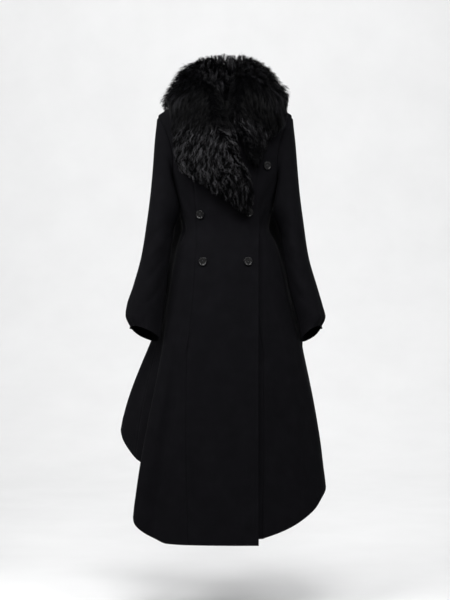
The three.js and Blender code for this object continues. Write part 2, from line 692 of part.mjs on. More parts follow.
function place(geometry, { x, z, lapped }) {
  const level = levelOf(z);
  const angle = angleOf(x, level);
  const normal = bodyNormal(angle, level);
  const stand = CLOTH / 2 + BUTTON_STAND + (lapped ? lapAt(angle, level) : 0);
  const turned = new THREE.Quaternion().setFromUnitVectors(new THREE.Vector3(0, 0, 1), normal);
  const middle = body(angle, level).addScaledVector(normal, stand);
  return geometry.applyQuaternion(turned).translate(...middle.toArray());
}

// ---------------------------------------------------------------- the coat
const coat = new THREE.Group();

const materials = {
  wool: new THREE.MeshStandardMaterial({ color: COLOURS.wool, roughness: 0.92, metalness: 0 }),
  fur: new THREE.MeshStandardMaterial({ color: COLOURS.fur, roughness: 0.7, metalness: 0 }),
  button: new THREE.MeshStandardMaterial({ color: COLOURS.button, roughness: 0.2, metalness: 0 }),
};

function add(name, geometry, material) {
  const mesh = new THREE.Mesh(geometry, material);
  mesh.name = name;
  coat.add(mesh);
}

const under = (angle, level) => lapAt(angle, level) - LAP;
add("front_right_centre", panel(frontCentre(-1, lapAt)), materials.wool);
add("front_left_centre", panel(frontCentre(1, under)), materials.wool);
for (const [name, side] of [["right", -1], ["left", 1]]) {
  add(`front_${name}_side`, panel(frontSide(side)), materials.wool);
  add(`back_${name}`, panel(back(side)), materials.wool);
  add(`sleeve_${name}`, sleeve(side), materials.wool);
  const covered = BUTTONS.filter((spot) => spot.under === name);
  const rooms = covered.map((spot) => place(buttonRoom(), spot));
  add(`collar_${name}`, without(collar(side), rooms), materials.fur);
}
for (const spot of BUTTONS) add(spot.name, place(button(), spot), materials.button);

export default coat;
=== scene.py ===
# %% [markdown]
# # A long wool coat with a curly sheepskin collar
# The coat hangs as on a wearer, with nobody in it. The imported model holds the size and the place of
# each piece, in metres, so it is loaded first, and every new piece is fitted to it.
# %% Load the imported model
import math

import bpy
import numpy as np
from mathutils import Matrix, Vector


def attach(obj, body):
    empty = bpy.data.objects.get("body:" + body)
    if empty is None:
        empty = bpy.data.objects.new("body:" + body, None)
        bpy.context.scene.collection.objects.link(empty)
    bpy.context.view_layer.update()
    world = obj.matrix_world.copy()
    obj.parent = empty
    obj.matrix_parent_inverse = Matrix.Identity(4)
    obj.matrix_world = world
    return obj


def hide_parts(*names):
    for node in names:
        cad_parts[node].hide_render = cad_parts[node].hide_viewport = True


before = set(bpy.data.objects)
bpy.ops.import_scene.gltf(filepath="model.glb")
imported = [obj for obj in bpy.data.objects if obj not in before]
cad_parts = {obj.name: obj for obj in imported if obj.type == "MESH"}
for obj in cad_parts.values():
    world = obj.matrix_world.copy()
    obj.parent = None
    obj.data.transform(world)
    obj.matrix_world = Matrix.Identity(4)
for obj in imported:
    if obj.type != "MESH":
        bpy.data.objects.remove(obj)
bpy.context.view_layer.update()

# %% [markdown]
# ## The sizes
# A coat is drafted from a few measures. These are the same ones that the solids come from, in
# millimetres. The tables give the body's sections from the neck to the hem, the hem's line, the
# large folds of the skirt and the princess seam. A table with a row for each section is easier to
# read and to change than a long list of points.
# %% Driving sizes
MM = 0.001
CLOTH = 2.4  # the wool's wall
SEAM = 0.3  # the gap that two pieces keep at a seam
LAP = 4.8  # how far the right front lies over the left one, middle to middle
LAP_RISE = (-100, 86)  # x where the lapping front starts to rise and where it is up
FRONT_EDGE = 96  # from the middle to a front edge
BREAK_Z = -352  # the height where the lapel turns back
SHOULDER = 139  # from the neck to the shoulder's tip, over the shoulder
PRINCESS_TOP = -60  # the level where the princess seam ends
ROUND = 2.5  # the power of the body's section: 2 is an ellipse and more is squarer
ARMHOLE = {"middle": -153, "half": 101, "sweep": 32}  # height, half height, half width in degrees
SKIRT_SHARE = 20 / 29  # the share of a panel's rows below the underarm
SHOULDER_SHARE = 0.6  # the shoulder's share of a back's upper edge
COLLAR_LIFT = 3.0  # from the middle of the wool to the collar's underside

# level, height, half widths to the wearer's right and left, depths to the front and the back
SECTIONS = np.array([
    (0, 8, 72, 72, 62, 66), (-30, -1, 99, 99, 75, 79), (-60, -12, 127, 127, 85, 89),
    (-100, -27, 163, 163, 95, 98), (-125, -41, 187, 187, 101, 103), (-139, -52, 199, 199, 104, 105),
    (-187, -100, 192, 192, 114, 108), (-240, -153, 180, 180, 123, 110),
    (-292, -205, 168, 168, 129, 109), (-342, -255, 158, 158, 128, 106),
    (-407, -320, 141, 142, 119, 99), (-471, -384, 127, 129, 111, 94),
    (-525, -438, 141, 153, 115, 103), (-600, -513, 156, 174, 122, 117),
    (-687, -600, 168, 192, 129, 130), (-813, -726, 187, 221, 138, 146),
    (-1087, -1000, 224, 256, 156, 178), (-1396, -1309, 258, 292, 172, 205),
], float)

# angle of the section, height of the hem
HEM = [
    (-180, -1165), (-150, -1110), (-122, -1012), (-103, -998), (-97, -1032), (-90, -1074),
    (-82, -1104), (-74, -1162), (-66, -1222), (-60, -1256), (-48, -1292), (-36, -1308),
    (-22, -1309), (10, -1309), (16, -1292), (20, -1286), (32, -1269), (46, -1246), (62, -1214),
    (74, -1178), (88, -1150), (100, -1128), (122, -1105), (150, -1125), (180, -1165),
]

# angle, spread in degrees, reach, where it starts, where it is full, where it ends
FOLDS = [
    (-62, 12, 52, -560, -1240, None), (-79, 9, -20, -600, -1100, None),
    (-105, 15, 108, -500, -1010, None), (-139, 14, 34, -640, -1150, None),
    (-168, 11, 26, -600, -1150, None), (82, 22, 27, -640, -1050, None),
    (124, 14, 30, -640, -1150, None), (157, 13, 32, -600, -1150, None),
    (-123, 15, 60, -235, -400, -760), (123, 15, 66, -235, -420, -860),
    (-70, 7, -7, -340, -400, -450),
    (-114, 9, 15, -250, -310, -400), (114, 10, 18, -230, -300, -540),
    (-105, 10, 24, -430, -550, -700), (105, 10, 26, -560, -660, -820),
]

# height, the princess seam's distance from the middle
PRINCESS = [
    (-12, 127), (-27, 122), (-52, 117), (-120, 104), (-205, 96), (-300, 88), (-384, 84),
    (-540, 90), (-700, 104), (-760, 111), (-1000, 113), (-1309, 106),
]

# the front's upper edge under the fur
ROLL = [(-56, -6), (-30, -30), (2, -72), (28, -128), (48, -195), (80, -262), (FRONT_EDGE, BREAK_Z)]
print("sections", len(SECTIONS), "folds", len(FOLDS))

# %% [markdown]
# ## The body's surface
# Cloth hangs in smooth curves, so every table becomes a curve that never overshoots its points.
# A point of the coat is found from an angle of the section, 0 in front and 90 at the wearer's left
# side, and a level, the way down from the neck over the shoulder. Working with whole arrays at
# once keeps this quick.
# %% Curves and the body
def curve(points):
    """A smooth curve through (x, y) points that stays between neighbouring points."""
    table = np.array(sorted(points), float)
    x, y = table[:, 0], table[:, 1]
    step = np.diff(x)
    slope = np.diff(y) / step
    before = np.concatenate([slope[:1], slope])
    after = np.concatenate([slope, slope[-1:]])
    level = before * after <= 0
    tangent = np.where(level, 0, 2 * before * after / np.where(level, 1, before + after))

    def at(value):
        v = np.clip(value, x[0], x[-1])
        i = np.clip(np.searchsorted(x, v, side="right") - 1, 0, len(step) - 1)
        t = (v - x[i]) / step[i]
        rise = t * t * (3 - 2 * t)
        bend = (1 - t) * tangent[i] - t * tangent[i + 1]
        return y[i] + (y[i + 1] - y[i]) * rise + step[i] * t * (1 - t) * bend

    return at


def along(values):
    """The same through evenly spread values, from 0 to 1."""
    return curve(list(zip(np.linspace(0, 1, len(values)), values)))


def smooth(value, low=0.0, high=1.0):
    t = np.clip((value - low) / (high - low), 0, 1)
    return t * t * (3 - 2 * t)


def mix(a, b, t):
    return a + (b - a) * t


def unit(vectors):
    return vectors / np.maximum(np.linalg.norm(vectors, axis=-1, keepdims=True), 1e-9)


def turned(degrees):
    """The same angle between -180 and 180."""
    return (degrees + 180) % 360 - 180


level_column = SECTIONS[:, 0]
height_of = curve(list(zip(level_column, SECTIONS[:, 1])))
level_of = curve(list(zip(SECTIONS[:, 1], level_column)))
width_right, width_left, depth_front, depth_back = (
    curve(list(zip(level_column, SECTIONS[:, k]))) for k in (2, 3, 4, 5)
)
hem_at = curve(HEM)
princess_at = curve(PRINCESS)


def fold_reach(angle, z):
    total = np.zeros(np.broadcast(angle, z).shape)
    for middle, spread, reach, start, full, end in FOLDS:
        away = turned(angle - middle) / spread
        grown = smooth(-z, -start, -full)
        if end is not None:
            grown = grown * (1 - smooth(-z, -full, -end))
        total = total + reach * grown * np.exp(-away * away)
    return total


def body(angle, level, out=0.0):
    """Points in mm of the cloth's middle. Out moves them off the section."""
    angle, level = np.broadcast_arrays(np.asarray(angle, float), np.asarray(level, float))
    z = height_of(level)
    width = np.where((angle < 0) & (angle > -180), width_right(level), width_left(level))
    depth = np.where(np.abs(angle) < 90, depth_front(level), depth_back(level))
    sine, cosine = np.sin(np.radians(angle)), np.cos(np.radians(angle))
    across = np.sign(sine) * np.abs(sine) ** (2 / ROUND)
    forward = np.sign(cosine) * np.abs(cosine) ** (2 / ROUND)
    outward = unit(np.stack([across / width, -forward / depth], -1))
    reach = (fold_reach(angle, z) + out)[..., None]
    flat = np.stack([width * across, -depth * forward], -1) + outward * reach
    return np.concatenate([flat, z[..., None]], -1)


def body_normal(angle, level):
    around = body(angle + 0.5, level) - body(angle - 0.5, level)
    up = body(angle, level + 0.5) - body(angle, level - 0.5)
    return unit(np.cross(around, up))


def angle_of(x, level):
    width = np.where(x < 0, width_right(level), width_left(level))
    share = np.minimum(np.abs(x) / width, 1) ** (ROUND / 2)
    return np.degrees(np.sign(x) * np.arcsin(share))


def lap_at(angle, level):
    return LAP * smooth(body(angle, level)[..., 0], *LAP_RISE)


chest = body(np.array([0.0, 90.0]), -292)
print("chest: front y", round(chest[0, 1], 1), "side x", round(chest[1, 0], 1))

# %% [markdown]
# ## Soft creases
# Heavy melton wool keeps long, soft creases where it is drawn in at the waist and where the skirt
# swings out. They are placed one by one, uneven in length, depth and distance, and there are similar
# ones at the back. Each one runs from one place to another and fades out at both ends.
# %% Creases of the body
# angle and height of both ends, half width, reach: a negative reach is a trough
CREASES = [
    (-64, -236, -40, -352, 13, -3.6), (-58, -262, -46, -384, 8, 2.4), (-74, -300, -52, -380, 9, -2.6),
    (61, -244, 42, -350, 12, -3.2), (72, -292, 50, -392, 10, -2.8), (55, -270, 47, -360, 7, 1.8),
    (-34, -392, -12, -428, 12, -1.6), (-30, -444, -9, -470, 9, 1.2), (-40, -412, -22, -500, 10, -1.8),
    (34, -398, 20, -452, 11, -1.4), (42, -420, 30, -520, 12, -2.0),
    (-29.5, -690, -33.5, -776, 5, 2.6), (-26.5, -672, -30, -764, 4, -2.2),
    (-36, -560, -44, -980, 17, -3.4), (-47, -600, -57, -1250, 11, 3.0), (-41, -800, -49, -1290, 12, -3.2),
    (-12, -760, -15, -1290, 26, -2.8), (-3, -640, -5, -1180, 22, 1.8), (4, -900, 6, -1300, 18, -1.6),
    (33, -600, 40, -1180, 20, -2.6), (48, -680, 56, -1200, 16, 2.8), (64, -620, 70, -1120, 15, -3.0),
    (90, -620, 94, -1080, 18, 3.0), (-90, -560, -94, -960, 13, -2.8), (-118, -560, -120, -960, 12, 2.6),
    (-128, -700, -131, -1040, 11, -3.0), (-152, -520, -155, -1080, 17, -3.2),
    (176, -560, 178, -1120, 15, 2.4), (138, -600, 142, -1060, 16, -3.0), (110, -560, 112, -1060, 14, 2.8),
    (-112, -250, -146, -372, 13, -3.0), (-128, -330, -160, -402, 10, 2.2), (112, -256, 150, -366, 12, -3.2),
    (130, -322, 164, -398, 9, 2.2), (-166, -366, 168, -372, 12, -1.8), (-150, -420, -172, -460, 12, -2.0),
    (152, -424, 171, -470, 13, -2.2), (-164, -70, -140, -150, 16, -2.0), (166, -78, 142, -146, 15, -2.0),
]


def crease(across, along_it, run_x, run_z, half_width, reach, least):
    """What one crease adds, at places in mm from its first end. Least is its share at both ends."""
    t = np.clip((across * run_x + along_it * run_z) / (run_x**2 + run_z**2), 0, 1)
    away = np.hypot(across - t * run_x, along_it - t * run_z) / half_width
    return reach * (least + (1 - least) * np.sin(np.pi * t)) * np.exp(-away * away)


def crease_reach(angle, z, size):
    """How far all creases push the cloth out. Size is the section's mean half width there."""
    total = np.zeros(np.broadcast(angle, z).shape)
    per_degree = np.radians(1) * size
    for angle0, z0, angle1, z1, half_width, reach in CREASES:
        across, run_x = turned(angle - angle0) * per_degree, turned(angle1 - angle0) * per_degree
        total += crease(across, z - z0, run_x, z1 - z0, half_width, reach, 0.3)
    return total


print("creases", len(CREASES), "deepest", min(row[5] for row in CREASES), "mm")

# %% [markdown]
# ## From a grid of points to a piece of cloth
# A piece of cloth is one wall with an outer and an inner skin. The mesh is made from a grid of
# points, because a garment's panel has a true shape that no primitive comes near. The wall gets
# thinner towards its edges, so that each edge is rounded as a pressed and turned edge is.
# %% Mesh helpers
def new_object(name, data):
    made = bpy.data.objects.new(name, data)
    bpy.context.scene.collection.objects.link(made)
    return made


def new_mesh(name, points, faces, uv=None, tone=None):
    """An object from points in mm and lists of equal-sided faces. Its place is in its mesh."""
    mesh = bpy.data.meshes.new(name)
    points = np.asarray(points, np.float32) * MM
    mesh.vertices.add(len(points))
    mesh.vertices.foreach_set("co", points.ravel())
    sizes = np.concatenate([np.full(len(f), f.shape[1]) for f in faces])
    corners = np.concatenate([f.ravel() for f in faces]).astype(np.int32)
    mesh.loops.add(len(corners))
    mesh.loops.foreach_set("vertex_index", corners)
    mesh.polygons.add(len(sizes))
    mesh.polygons.foreach_set("loop_start", (np.cumsum(sizes) - sizes).astype(np.int32))
    mesh.polygons.foreach_set("use_smooth", np.ones(len(sizes), bool))
    mesh.update(calc_edges=True)
    if uv is not None:
        layer = mesh.uv_layers.new(name="cut")
        layer.data.foreach_set("uv", np.asarray(uv, np.float32)[corners].ravel())
    if tone is not None:
        mesh.attributes.new("tone", "FLOAT", "POINT").data.foreach_set("value", tone.astype(np.float32))
    mesh.validate()
    return new_object(name, mesh)


def lengths(grid, axis):
    """The distance along a grid of points from its first row or column."""
    step = np.linalg.norm(np.diff(grid, axis=axis), axis=-1)
    first = np.zeros_like(np.take(step, [0], axis=axis))
    return np.concatenate([first, np.cumsum(step, axis=axis)], axis=axis)


def edge_round(distance):
    """The wall's share of its full thickness at a distance in mm from an edge."""
    return 0.3 + 0.7 * np.sqrt(1 - (1 - np.clip(distance / 1.5, 0, 1)) ** 2)


def grid_index(rows, columns, closed):
    """The point numbers of a grid. A closed one comes round to its first column again."""
    index = np.arange(rows * columns).reshape(rows, columns)
    return np.concatenate([index, index[:, :1]], axis=1) if closed else index


def grid_faces(index):
    """Four-sided faces between the rows and columns of a grid of point numbers."""
    return np.stack([index[:-1, :-1], index[:-1, 1:], index[1:, 1:], index[1:, :-1]], -1).reshape(-1, 4)


def cloth(name, grid, normals, half, uv, lined, closed=False):
    """A wall on both sides of a grid. Lined marks the grid points whose inside is lining."""
    rows, columns = grid.shape[:2]
    shift = rows * columns
    points = np.concatenate([
        (grid + normals * half[..., None]).reshape(-1, 3),
        (grid - normals * half[..., None]).reshape(-1, 3),
    ])
    index = grid_index(rows, columns, closed)
    outer = grid_faces(index)
    inner = outer[:, [0, 3, 2, 1]] + shift

    def rim(line, flip):
        p, q = line[:-1], line[1:]
        face = np.stack([p, p + shift, q + shift, q], -1)
        return face[:, ::-1] if flip else face

    rims = [rim(index[0], False), rim(index[-1], True)]
    if not closed:
        rims += [rim(index[:, 0], True), rim(index[:, -1], False)]
    faces = np.concatenate([outer, inner, *rims])
    piece = new_mesh(name, points, [faces], uv=np.concatenate([uv.reshape(-1, 2)] * 2))
    marks = np.concatenate([np.zeros(shift, bool), lined.ravel()])
    piece.data.polygons.foreach_set("material_index", marks[faces].all(axis=1).astype(np.int32))
    return piece


# %% [markdown]
# ## The panels' edges
# A tailor cuts each panel between four edges: the hem, the top and two seams. Each edge is a
# function of its share from 0 to 1 that gives an angle and a level, and neighbours use the same
# function for the seam that they share, so they meet all along it.
# %% Edges of the panels
UNDERARM = float(level_of(ARMHOLE["middle"] - ARMHOLE["half"]))


def pair(angle, level):
    return np.stack(np.broadcast_arrays(np.asarray(angle, float), np.asarray(level, float)), -1)


def armhole(side, facing, share, size=1.0):
    around = np.pi * share
    z = ARMHOLE["middle"] - ARMHOLE["half"] * size * np.cos(around)
    return pair(side * (90 + facing * ARMHOLE["sweep"] * size * np.sin(around)), level_of(z))


def side_edge(side, facing):
    hem = level_of(hem_at(side * 90))

    def at(v):
        low = pair(side * 90.0, mix(hem, UNDERARM, v / SKIRT_SHARE))
        high = armhole(side, facing, np.clip((v - SKIRT_SHARE) / (1 - SKIRT_SHARE), 0, 1))
        return np.where((v < SKIRT_SHARE)[..., None], low, high)

    return at


def princess_edge(side):
    z, x = PRINCESS[-1]
    hem = level_of(hem_at(angle_of(side * x, level_of(z))))

    def at(v):
        low = mix(hem, UNDERARM, v / SKIRT_SHARE)
        high = mix(UNDERARM, PRINCESS_TOP, (v - SKIRT_SHARE) / (1 - SKIRT_SHARE))
        level = np.where(v < SKIRT_SHARE, low, high)
        return pair(angle_of(side * princess_at(height_of(level)), level), level)

    return at


def front_edge(side):
    seam = princess_edge(side)
    low = float(seam(np.float64(0))[1])
    share_at_break = SKIRT_SHARE * (level_of(BREAK_Z) - low) / (UNDERARM - low)
    upper = [(float(angle_of(-side * x, level_of(z))), float(level_of(z))) for x, z in ROLL[::-1]]
    upper.append((side * 90.0, 0.0))
    roll_angle, roll_level = along([p[0] for p in upper]), along([p[1] for p in upper])

    def at(v):
        share = (v - share_at_break) / (1 - share_at_break)
        straight = seam(v)[..., 1]
        edge = pair(angle_of(-side * FRONT_EDGE, straight), straight)
        return np.where((share > 0)[..., None], pair(roll_angle(share), roll_level(share)), edge)

    return at


def mirrored(first, second, hem, top):
    """The same panel with its sides exchanged, so that its columns still run to the wearer's left."""
    return second, first, lambda u: hem(1 - u), lambda u: top(1 - u)


def front_centre(side):
    seam, edge = princess_edge(side), front_edge(side)
    first, last = seam(np.float64(0)), edge(np.float64(0))
    hem = lambda u: pair(mix(first[0], last[0], u), first[1])
    top = lambda u: pair(side * 90.0, mix(PRINCESS_TOP, 0.0, u))
    return (seam, edge, hem, top) if side < 0 else mirrored(seam, edge, hem, top)


def front_side(side):
    seam, edge = princess_edge(side), side_edge(side, -1)
    first = seam(np.float64(0))

    def hem(u):
        angle = mix(first[0], side * 90.0, u)
        level = level_of(hem_at(angle))
        # The hem's first part leads in from the end of the seam.
        return pair(angle, np.where(u < 0.02, mix(first[1], level, u / 0.02), level))

    top = lambda u: pair(side * 90.0, mix(PRINCESS_TOP, -SHOULDER, u))
    return (seam, edge, hem, top) if side > 0 else mirrored(seam, edge, hem, top)


def back(side):
    edge = side_edge(side, 1)

    def hem(u):
        angle = mix(side * 90.0, side * 180.0, u)
        return pair(angle, level_of(hem_at(angle)))

    low = float(hem(np.float64(1))[1])
    seam = lambda v: pair(side * 180.0, mix(low, 0.0, v))

    def top(u):
        shoulder = pair(side * 90.0, mix(-SHOULDER, 0.0, u / SHOULDER_SHARE))
        neck = pair(side * mix(90.0, 180.0, (u - SHOULDER_SHARE) / (1 - SHOULDER_SHARE)), 0.0)
        return np.where((u < SHOULDER_SHARE)[..., None], shoulder, neck)

    return (edge, seam, hem, top) if side > 0 else mirrored(edge, seam, hem, top)


# %% [markdown]
# ## The six panels
# Each panel is filled in between its four edges. Close to the edges the grid has narrow columns,
# so that the sunk line of the seam and the faint ridge of its allowance, pressed open inside, are
# real shape and not paint. The hem has a pressed turn-up that shows as a faint step.
# %% Panels
EDGE_LOOPS = np.array([0.0, 0.7, 1.7, 3.2, 5.5, 9.0, 13.0])  # mm from an edge
PITCH = 8.0  # mm between two columns
HEM_SCALE, TOP_SCALE = 1250, 900  # mm that a whole share stands for at the hem and at the top
SKIRT_ROWS, UPPER_ROWS = 96, 44
HEM_TURN = 45  # mm of wool that is turned up inside the hem
FLARE = 2.6  # mm that a free front edge stands off


def spread(length):
    """Shares from 0 to 1 with narrow steps at both ends of a length in mm."""
    inner = max(int(round((np.max(length) - 2 * EDGE_LOOPS[-1]) / PITCH)), 2)
    length = np.atleast_1d(length)[:, None]
    low = EDGE_LOOPS[None, :] / length
    middle = np.linspace(0, 1, inner + 1)[None, 1:-1]
    between = low[:, -1:] + middle * (1 - 2 * low[:, -1:])
    return np.concatenate([low, between, 1 - low[:, ::-1]], axis=1)


def seam_relief(distance):
    """The sunk stitch line and the ridge of the allowance beside it."""
    return -0.9 * np.exp(-((distance / 2.2) ** 2)) + 0.7 * np.exp(-(((distance - 7.0) / 3.2) ** 2))


def free_relief(distance):
    """A front's turned edge: a pressed bead, standing a little off what lies under it."""
    return 0.8 * np.exp(-(((distance - 2.6) / 2.2) ** 2)) + FLARE * np.exp(-distance / 14.0)


def lap_hollow(points):
    """The shallow hollow that the lapping front presses into the cloth beside its edge."""
    beside = np.exp(-(((points[..., 0] - FRONT_EDGE - 8.0) / 8.0) ** 2))
    return -3.4 * beside * smooth(BREAK_Z + 10 - points[..., 2], 0, 60) * (points[..., 1] < 0)


def panel(name, edges, out=None, free=None):
    """A panel between its edges. Out is the lap. Free is the edge that no seam holds, and its share."""
    before, after, hem, top = edges
    rows = np.concatenate([
        EDGE_LOOPS / HEM_SCALE, np.linspace(0.02, SKIRT_SHARE, SKIRT_ROWS)[1:-1],
        np.linspace(SKIRT_SHARE, 0.985, UPPER_ROWS), 1 - EDGE_LOOPS[::-1] / TOP_SCALE,
    ])
    zero, one = np.float64(0), np.float64(1)

    def places(u, v):
        lower = hem(u) - mix(before(zero), after(zero), u[..., None])
        upper = top(u) - mix(before(one), after(one), u[..., None])
        between = mix(before(v), after(v), u[..., None])
        return between + lower * (1 - v[..., None]) ** 3 + upper * v[..., None] ** 3

    coarse = np.linspace(0, 1, 25)
    u, v = np.meshgrid(coarse, rows)
    probe = places(u, v)
    width = np.maximum(lengths(body(probe[..., 0], probe[..., 1]), 1)[:, -1], 30)
    u = spread(width)
    v = np.broadcast_to(rows[:, None], u.shape)
    place = places(u, v)
    angle, level = place[..., 0], place[..., 1]
    lap = out(angle, level) if out else 0.0
    grid = body(angle, level, lap)
    normals = body_normal(angle, level)
    across, along_it = lengths(grid, 1), lengths(grid, 0)
    from_side = np.minimum(across, across[:, -1:] - across)
    from_hem, from_top = along_it, along_it[-1:] - along_it
    size = (width_right(level) + depth_front(level)) / 2
    relief = crease_reach(angle, grid[..., 2], size) + seam_relief(from_top)
    for k, distance in enumerate((across, across[:, -1:] - across)):
        relief += free_relief(distance) * free[1] if free and k == free[0] else seam_relief(distance)
    relief += 0.5 * (1 - smooth(from_hem, HEM_TURN - 5, HEM_TURN + 3))
    if "front_left" in name:
        relief += lap_hollow(grid)
    grid = grid + normals * relief[..., None]
    half = CLOTH / 2 * edge_round(np.minimum(from_side, np.minimum(from_hem, from_top)) + 0.15)
    uv = np.stack([across, along_it], -1) * MM
    piece = cloth(name, grid, normals, half, uv, from_hem > HEM_TURN)
    step_up, step_across = grid[1:, :-1] - grid[:-1, :-1], grid[:-1, 1:] - grid[:-1, :-1]
    area = float(np.sum(np.linalg.norm(np.cross(step_up, step_across), axis=-1)))
    print(name, "faces", len(piece.data.polygons), "width", round(across[:, -1].max()), "length",
          round(along_it[-1].max()), "area m2", round(area * MM * MM, 3))
    return piece


under = lambda angle, level: lap_at(angle, level) - LAP
panels = {}
for name, edges, *more in (
    ("front_right_centre", front_centre(-1), lap_at, (1, 1)),
    ("front_left_centre", front_centre(1), under, (0, 0)),
    ("front_right_side", front_side(-1)),
    ("front_left_side", front_side(1)),
    ("back_right", back(-1)),
    ("back_left", back(1)),
):
    panels[name] = panel(f"cloth_{name}", edges, *more)

# %% [markdown]
# ## The sleeves
# A coat sleeve is a tube of two pieces with a seam at the elbow's back and one under the arm. It
# widens below the elbow and is drawn in at the cuff, which is cut aslant and stays open. The tube
# is lofted through rings from the armhole to the cuff, and its creases lie where an arm that hangs
# at rest would leave them.
# %% Sleeves
# outer and inner edge as (x, z) from the armhole to the cuff
SLEEVES = {
    -1: {
        "outer": [(206, -62), (209, -110), (213, -180), (221, -276), (233, -372), (248, -468),
                  (273, -560), (290, -612), (294, -640), (287, -664), (277, -682)],
        "inner": [(163, -262), (155, -300), (152, -350), (155, -396), (162, -450), (172, -520),
                  (180, -600), (186, -650), (189, -684), (191, -704), (192, -718)],
        "cuff_back": -60, "wrap": 38,
    },
    1: {
        "outer": [(206, -62), (209, -110), (214, -180), (222, -276), (234, -372), (248, -468),
                  (275, -564), (290, -616), (297, -645), (292, -664), (284, -682)],
        "inner": [(163, -262), (155, -300), (156, -350), (163, -396), (172, -450), (183, -520),
                  (200, -600), (213, -650), (221, -684), (225, -704), (227, -718)],
        "cuff_back": -42, "wrap": 30,
    },
}
SLEEVE_DEPTH = {"armhole": 74, "elbow": 66, "cuff": 50, "slant": 0.33}
SLEEVE_SEAMS = (38.0, 205.0)  # degrees round the tube: 0 is its outer edge and 90 its back
CUFF_TURN = 38  # mm of wool that is turned in at the cuff

# share down and degrees round of both ends, half width in mm, reach in mm
SLEEVE_CREASES = [
    (0.34, 250, 0.47, 318, 10, -3.4), (0.39, 235, 0.50, 300, 7, 2.6), (0.44, 222, 0.58, 292, 9, -3.0),
    (0.30, 190, 0.40, 240, 8, -2.4), (0.52, 215, 0.66, 270, 8, -2.2), (0.26, 330, 0.36, 285, 9, -1.8),
    (0.60, 330, 0.80, 318, 13, -2.6), (0.68, 292, 0.90, 300, 10, 2.4), (0.74, 262, 0.97, 268, 9, -2.6),
    (0.80, 342, 0.98, 338, 7, 3.0), (0.82, 322, 0.99, 322, 6, -2.8), (0.86, 285, 1.0, 286, 5, -2.2),
    (0.84, 20, 1.0, 24, 7, -2.4), (0.78, 60, 1.0, 66, 9, 2.4), (0.86, 96, 1.0, 100, 7, -2.6),
    (0.83, 140, 1.0, 138, 8, 2.2), (0.87, 176, 1.0, 178, 7, -2.2), (0.40, 60, 0.52, 110, 10, -2.6),
    (0.46, 40, 0.60, 96, 8, 2.0), (0.36, 110, 0.46, 160, 9, -2.4), (0.62, 100, 0.78, 130, 12, -2.2),
    (0.08, 300, 0.22, 318, 12, -2.0), (0.06, 60, 0.2, 48, 12, -1.8),
]


def sleeve_rings(side):
    """The tube's points from the armhole to the cuff, and how far down and how far round they are."""
    shape = SLEEVES[side]
    outer_x, outer_z = (along([p[k] for p in shape["outer"]]) for k in (0, 1))
    inner_x, inner_z = (along([p[k] for p in shape["inner"]]) for k in (0, 1))
    beside = [s + away for s in SLEEVE_SEAMS for away in (-2.6, -1.2, 1.2, 2.6)]
    turn = np.concatenate([np.arange(0, 360, 5.0), beside])
    turn = np.unique(turn) / 360  # the share of the way round
    facing = np.where(turn < 0.5, 1, -1)
    share = np.abs(1 - turn * 2)
    edge = armhole(side, facing, share)
    smaller = armhole(side, facing, share, 0.97)
    seat = body(edge[:, 0], edge[:, 1])
    into = unit(body(smaller[:, 0], smaller[:, 1]) - seat)
    seat = seat + into * SEAM
    away = unit(mix(body_normal(edge[:, 0], edge[:, 1]), into, (share**3)[:, None]))
    lip = seat + away * 3.2
    down = np.concatenate([np.linspace(0, 1, 112)[1:-1], [0.991, 0.9955, 0.998, 0.9992, 1.0]])[:, None]
    around = turn[None, :] * 2 * np.pi
    depth = np.where(
        down < 0.5,
        mix(SLEEVE_DEPTH["armhole"], SLEEVE_DEPTH["elbow"], down * 2),
        mix(SLEEVE_DEPTH["elbow"], SLEEVE_DEPTH["cuff"], (down * 2 - 1) ** 2),
    )
    y = depth * np.sin(around)
    inside = (1 - np.cos(around)) / 2
    # Below the armhole the tube's inner front laps over the body's side.
    wrapped = shape["wrap"] * smooth(down, 0.02, 0.2) * (1 - smooth(down, 0.2, 0.32))
    wrapped = wrapped * inside * np.maximum(0, -np.sin(around))
    hang = np.stack([
        side * (mix(outer_x(down), inner_x(down), inside) - wrapped),
        shape["cuff_back"] * down**1.2 + y,
        mix(outer_z(down), inner_z(down), inside) - SLEEVE_DEPTH["slant"] * down**6 * y,
    ], -1)
    hung = smooth(down, -0.03, 0.17)[..., None]
    grid = np.concatenate([seat[None], mix(seat, lip, 0.5)[None], lip[None], mix(lip[None], hang, hung)])
    down = np.concatenate([[[0.0]] * 3, down])
    # The corner of the cuff's vent sticks out a little at the outer edge.
    corner = np.exp(-(turned(turn[None, :] * 360) / 9) ** 2) * smooth(down, 0.975, 1.0)
    grid = grid + (corner * 5.0)[..., None] * np.array([side * 0.8, 0.0, -0.6])
    return grid, down, turn


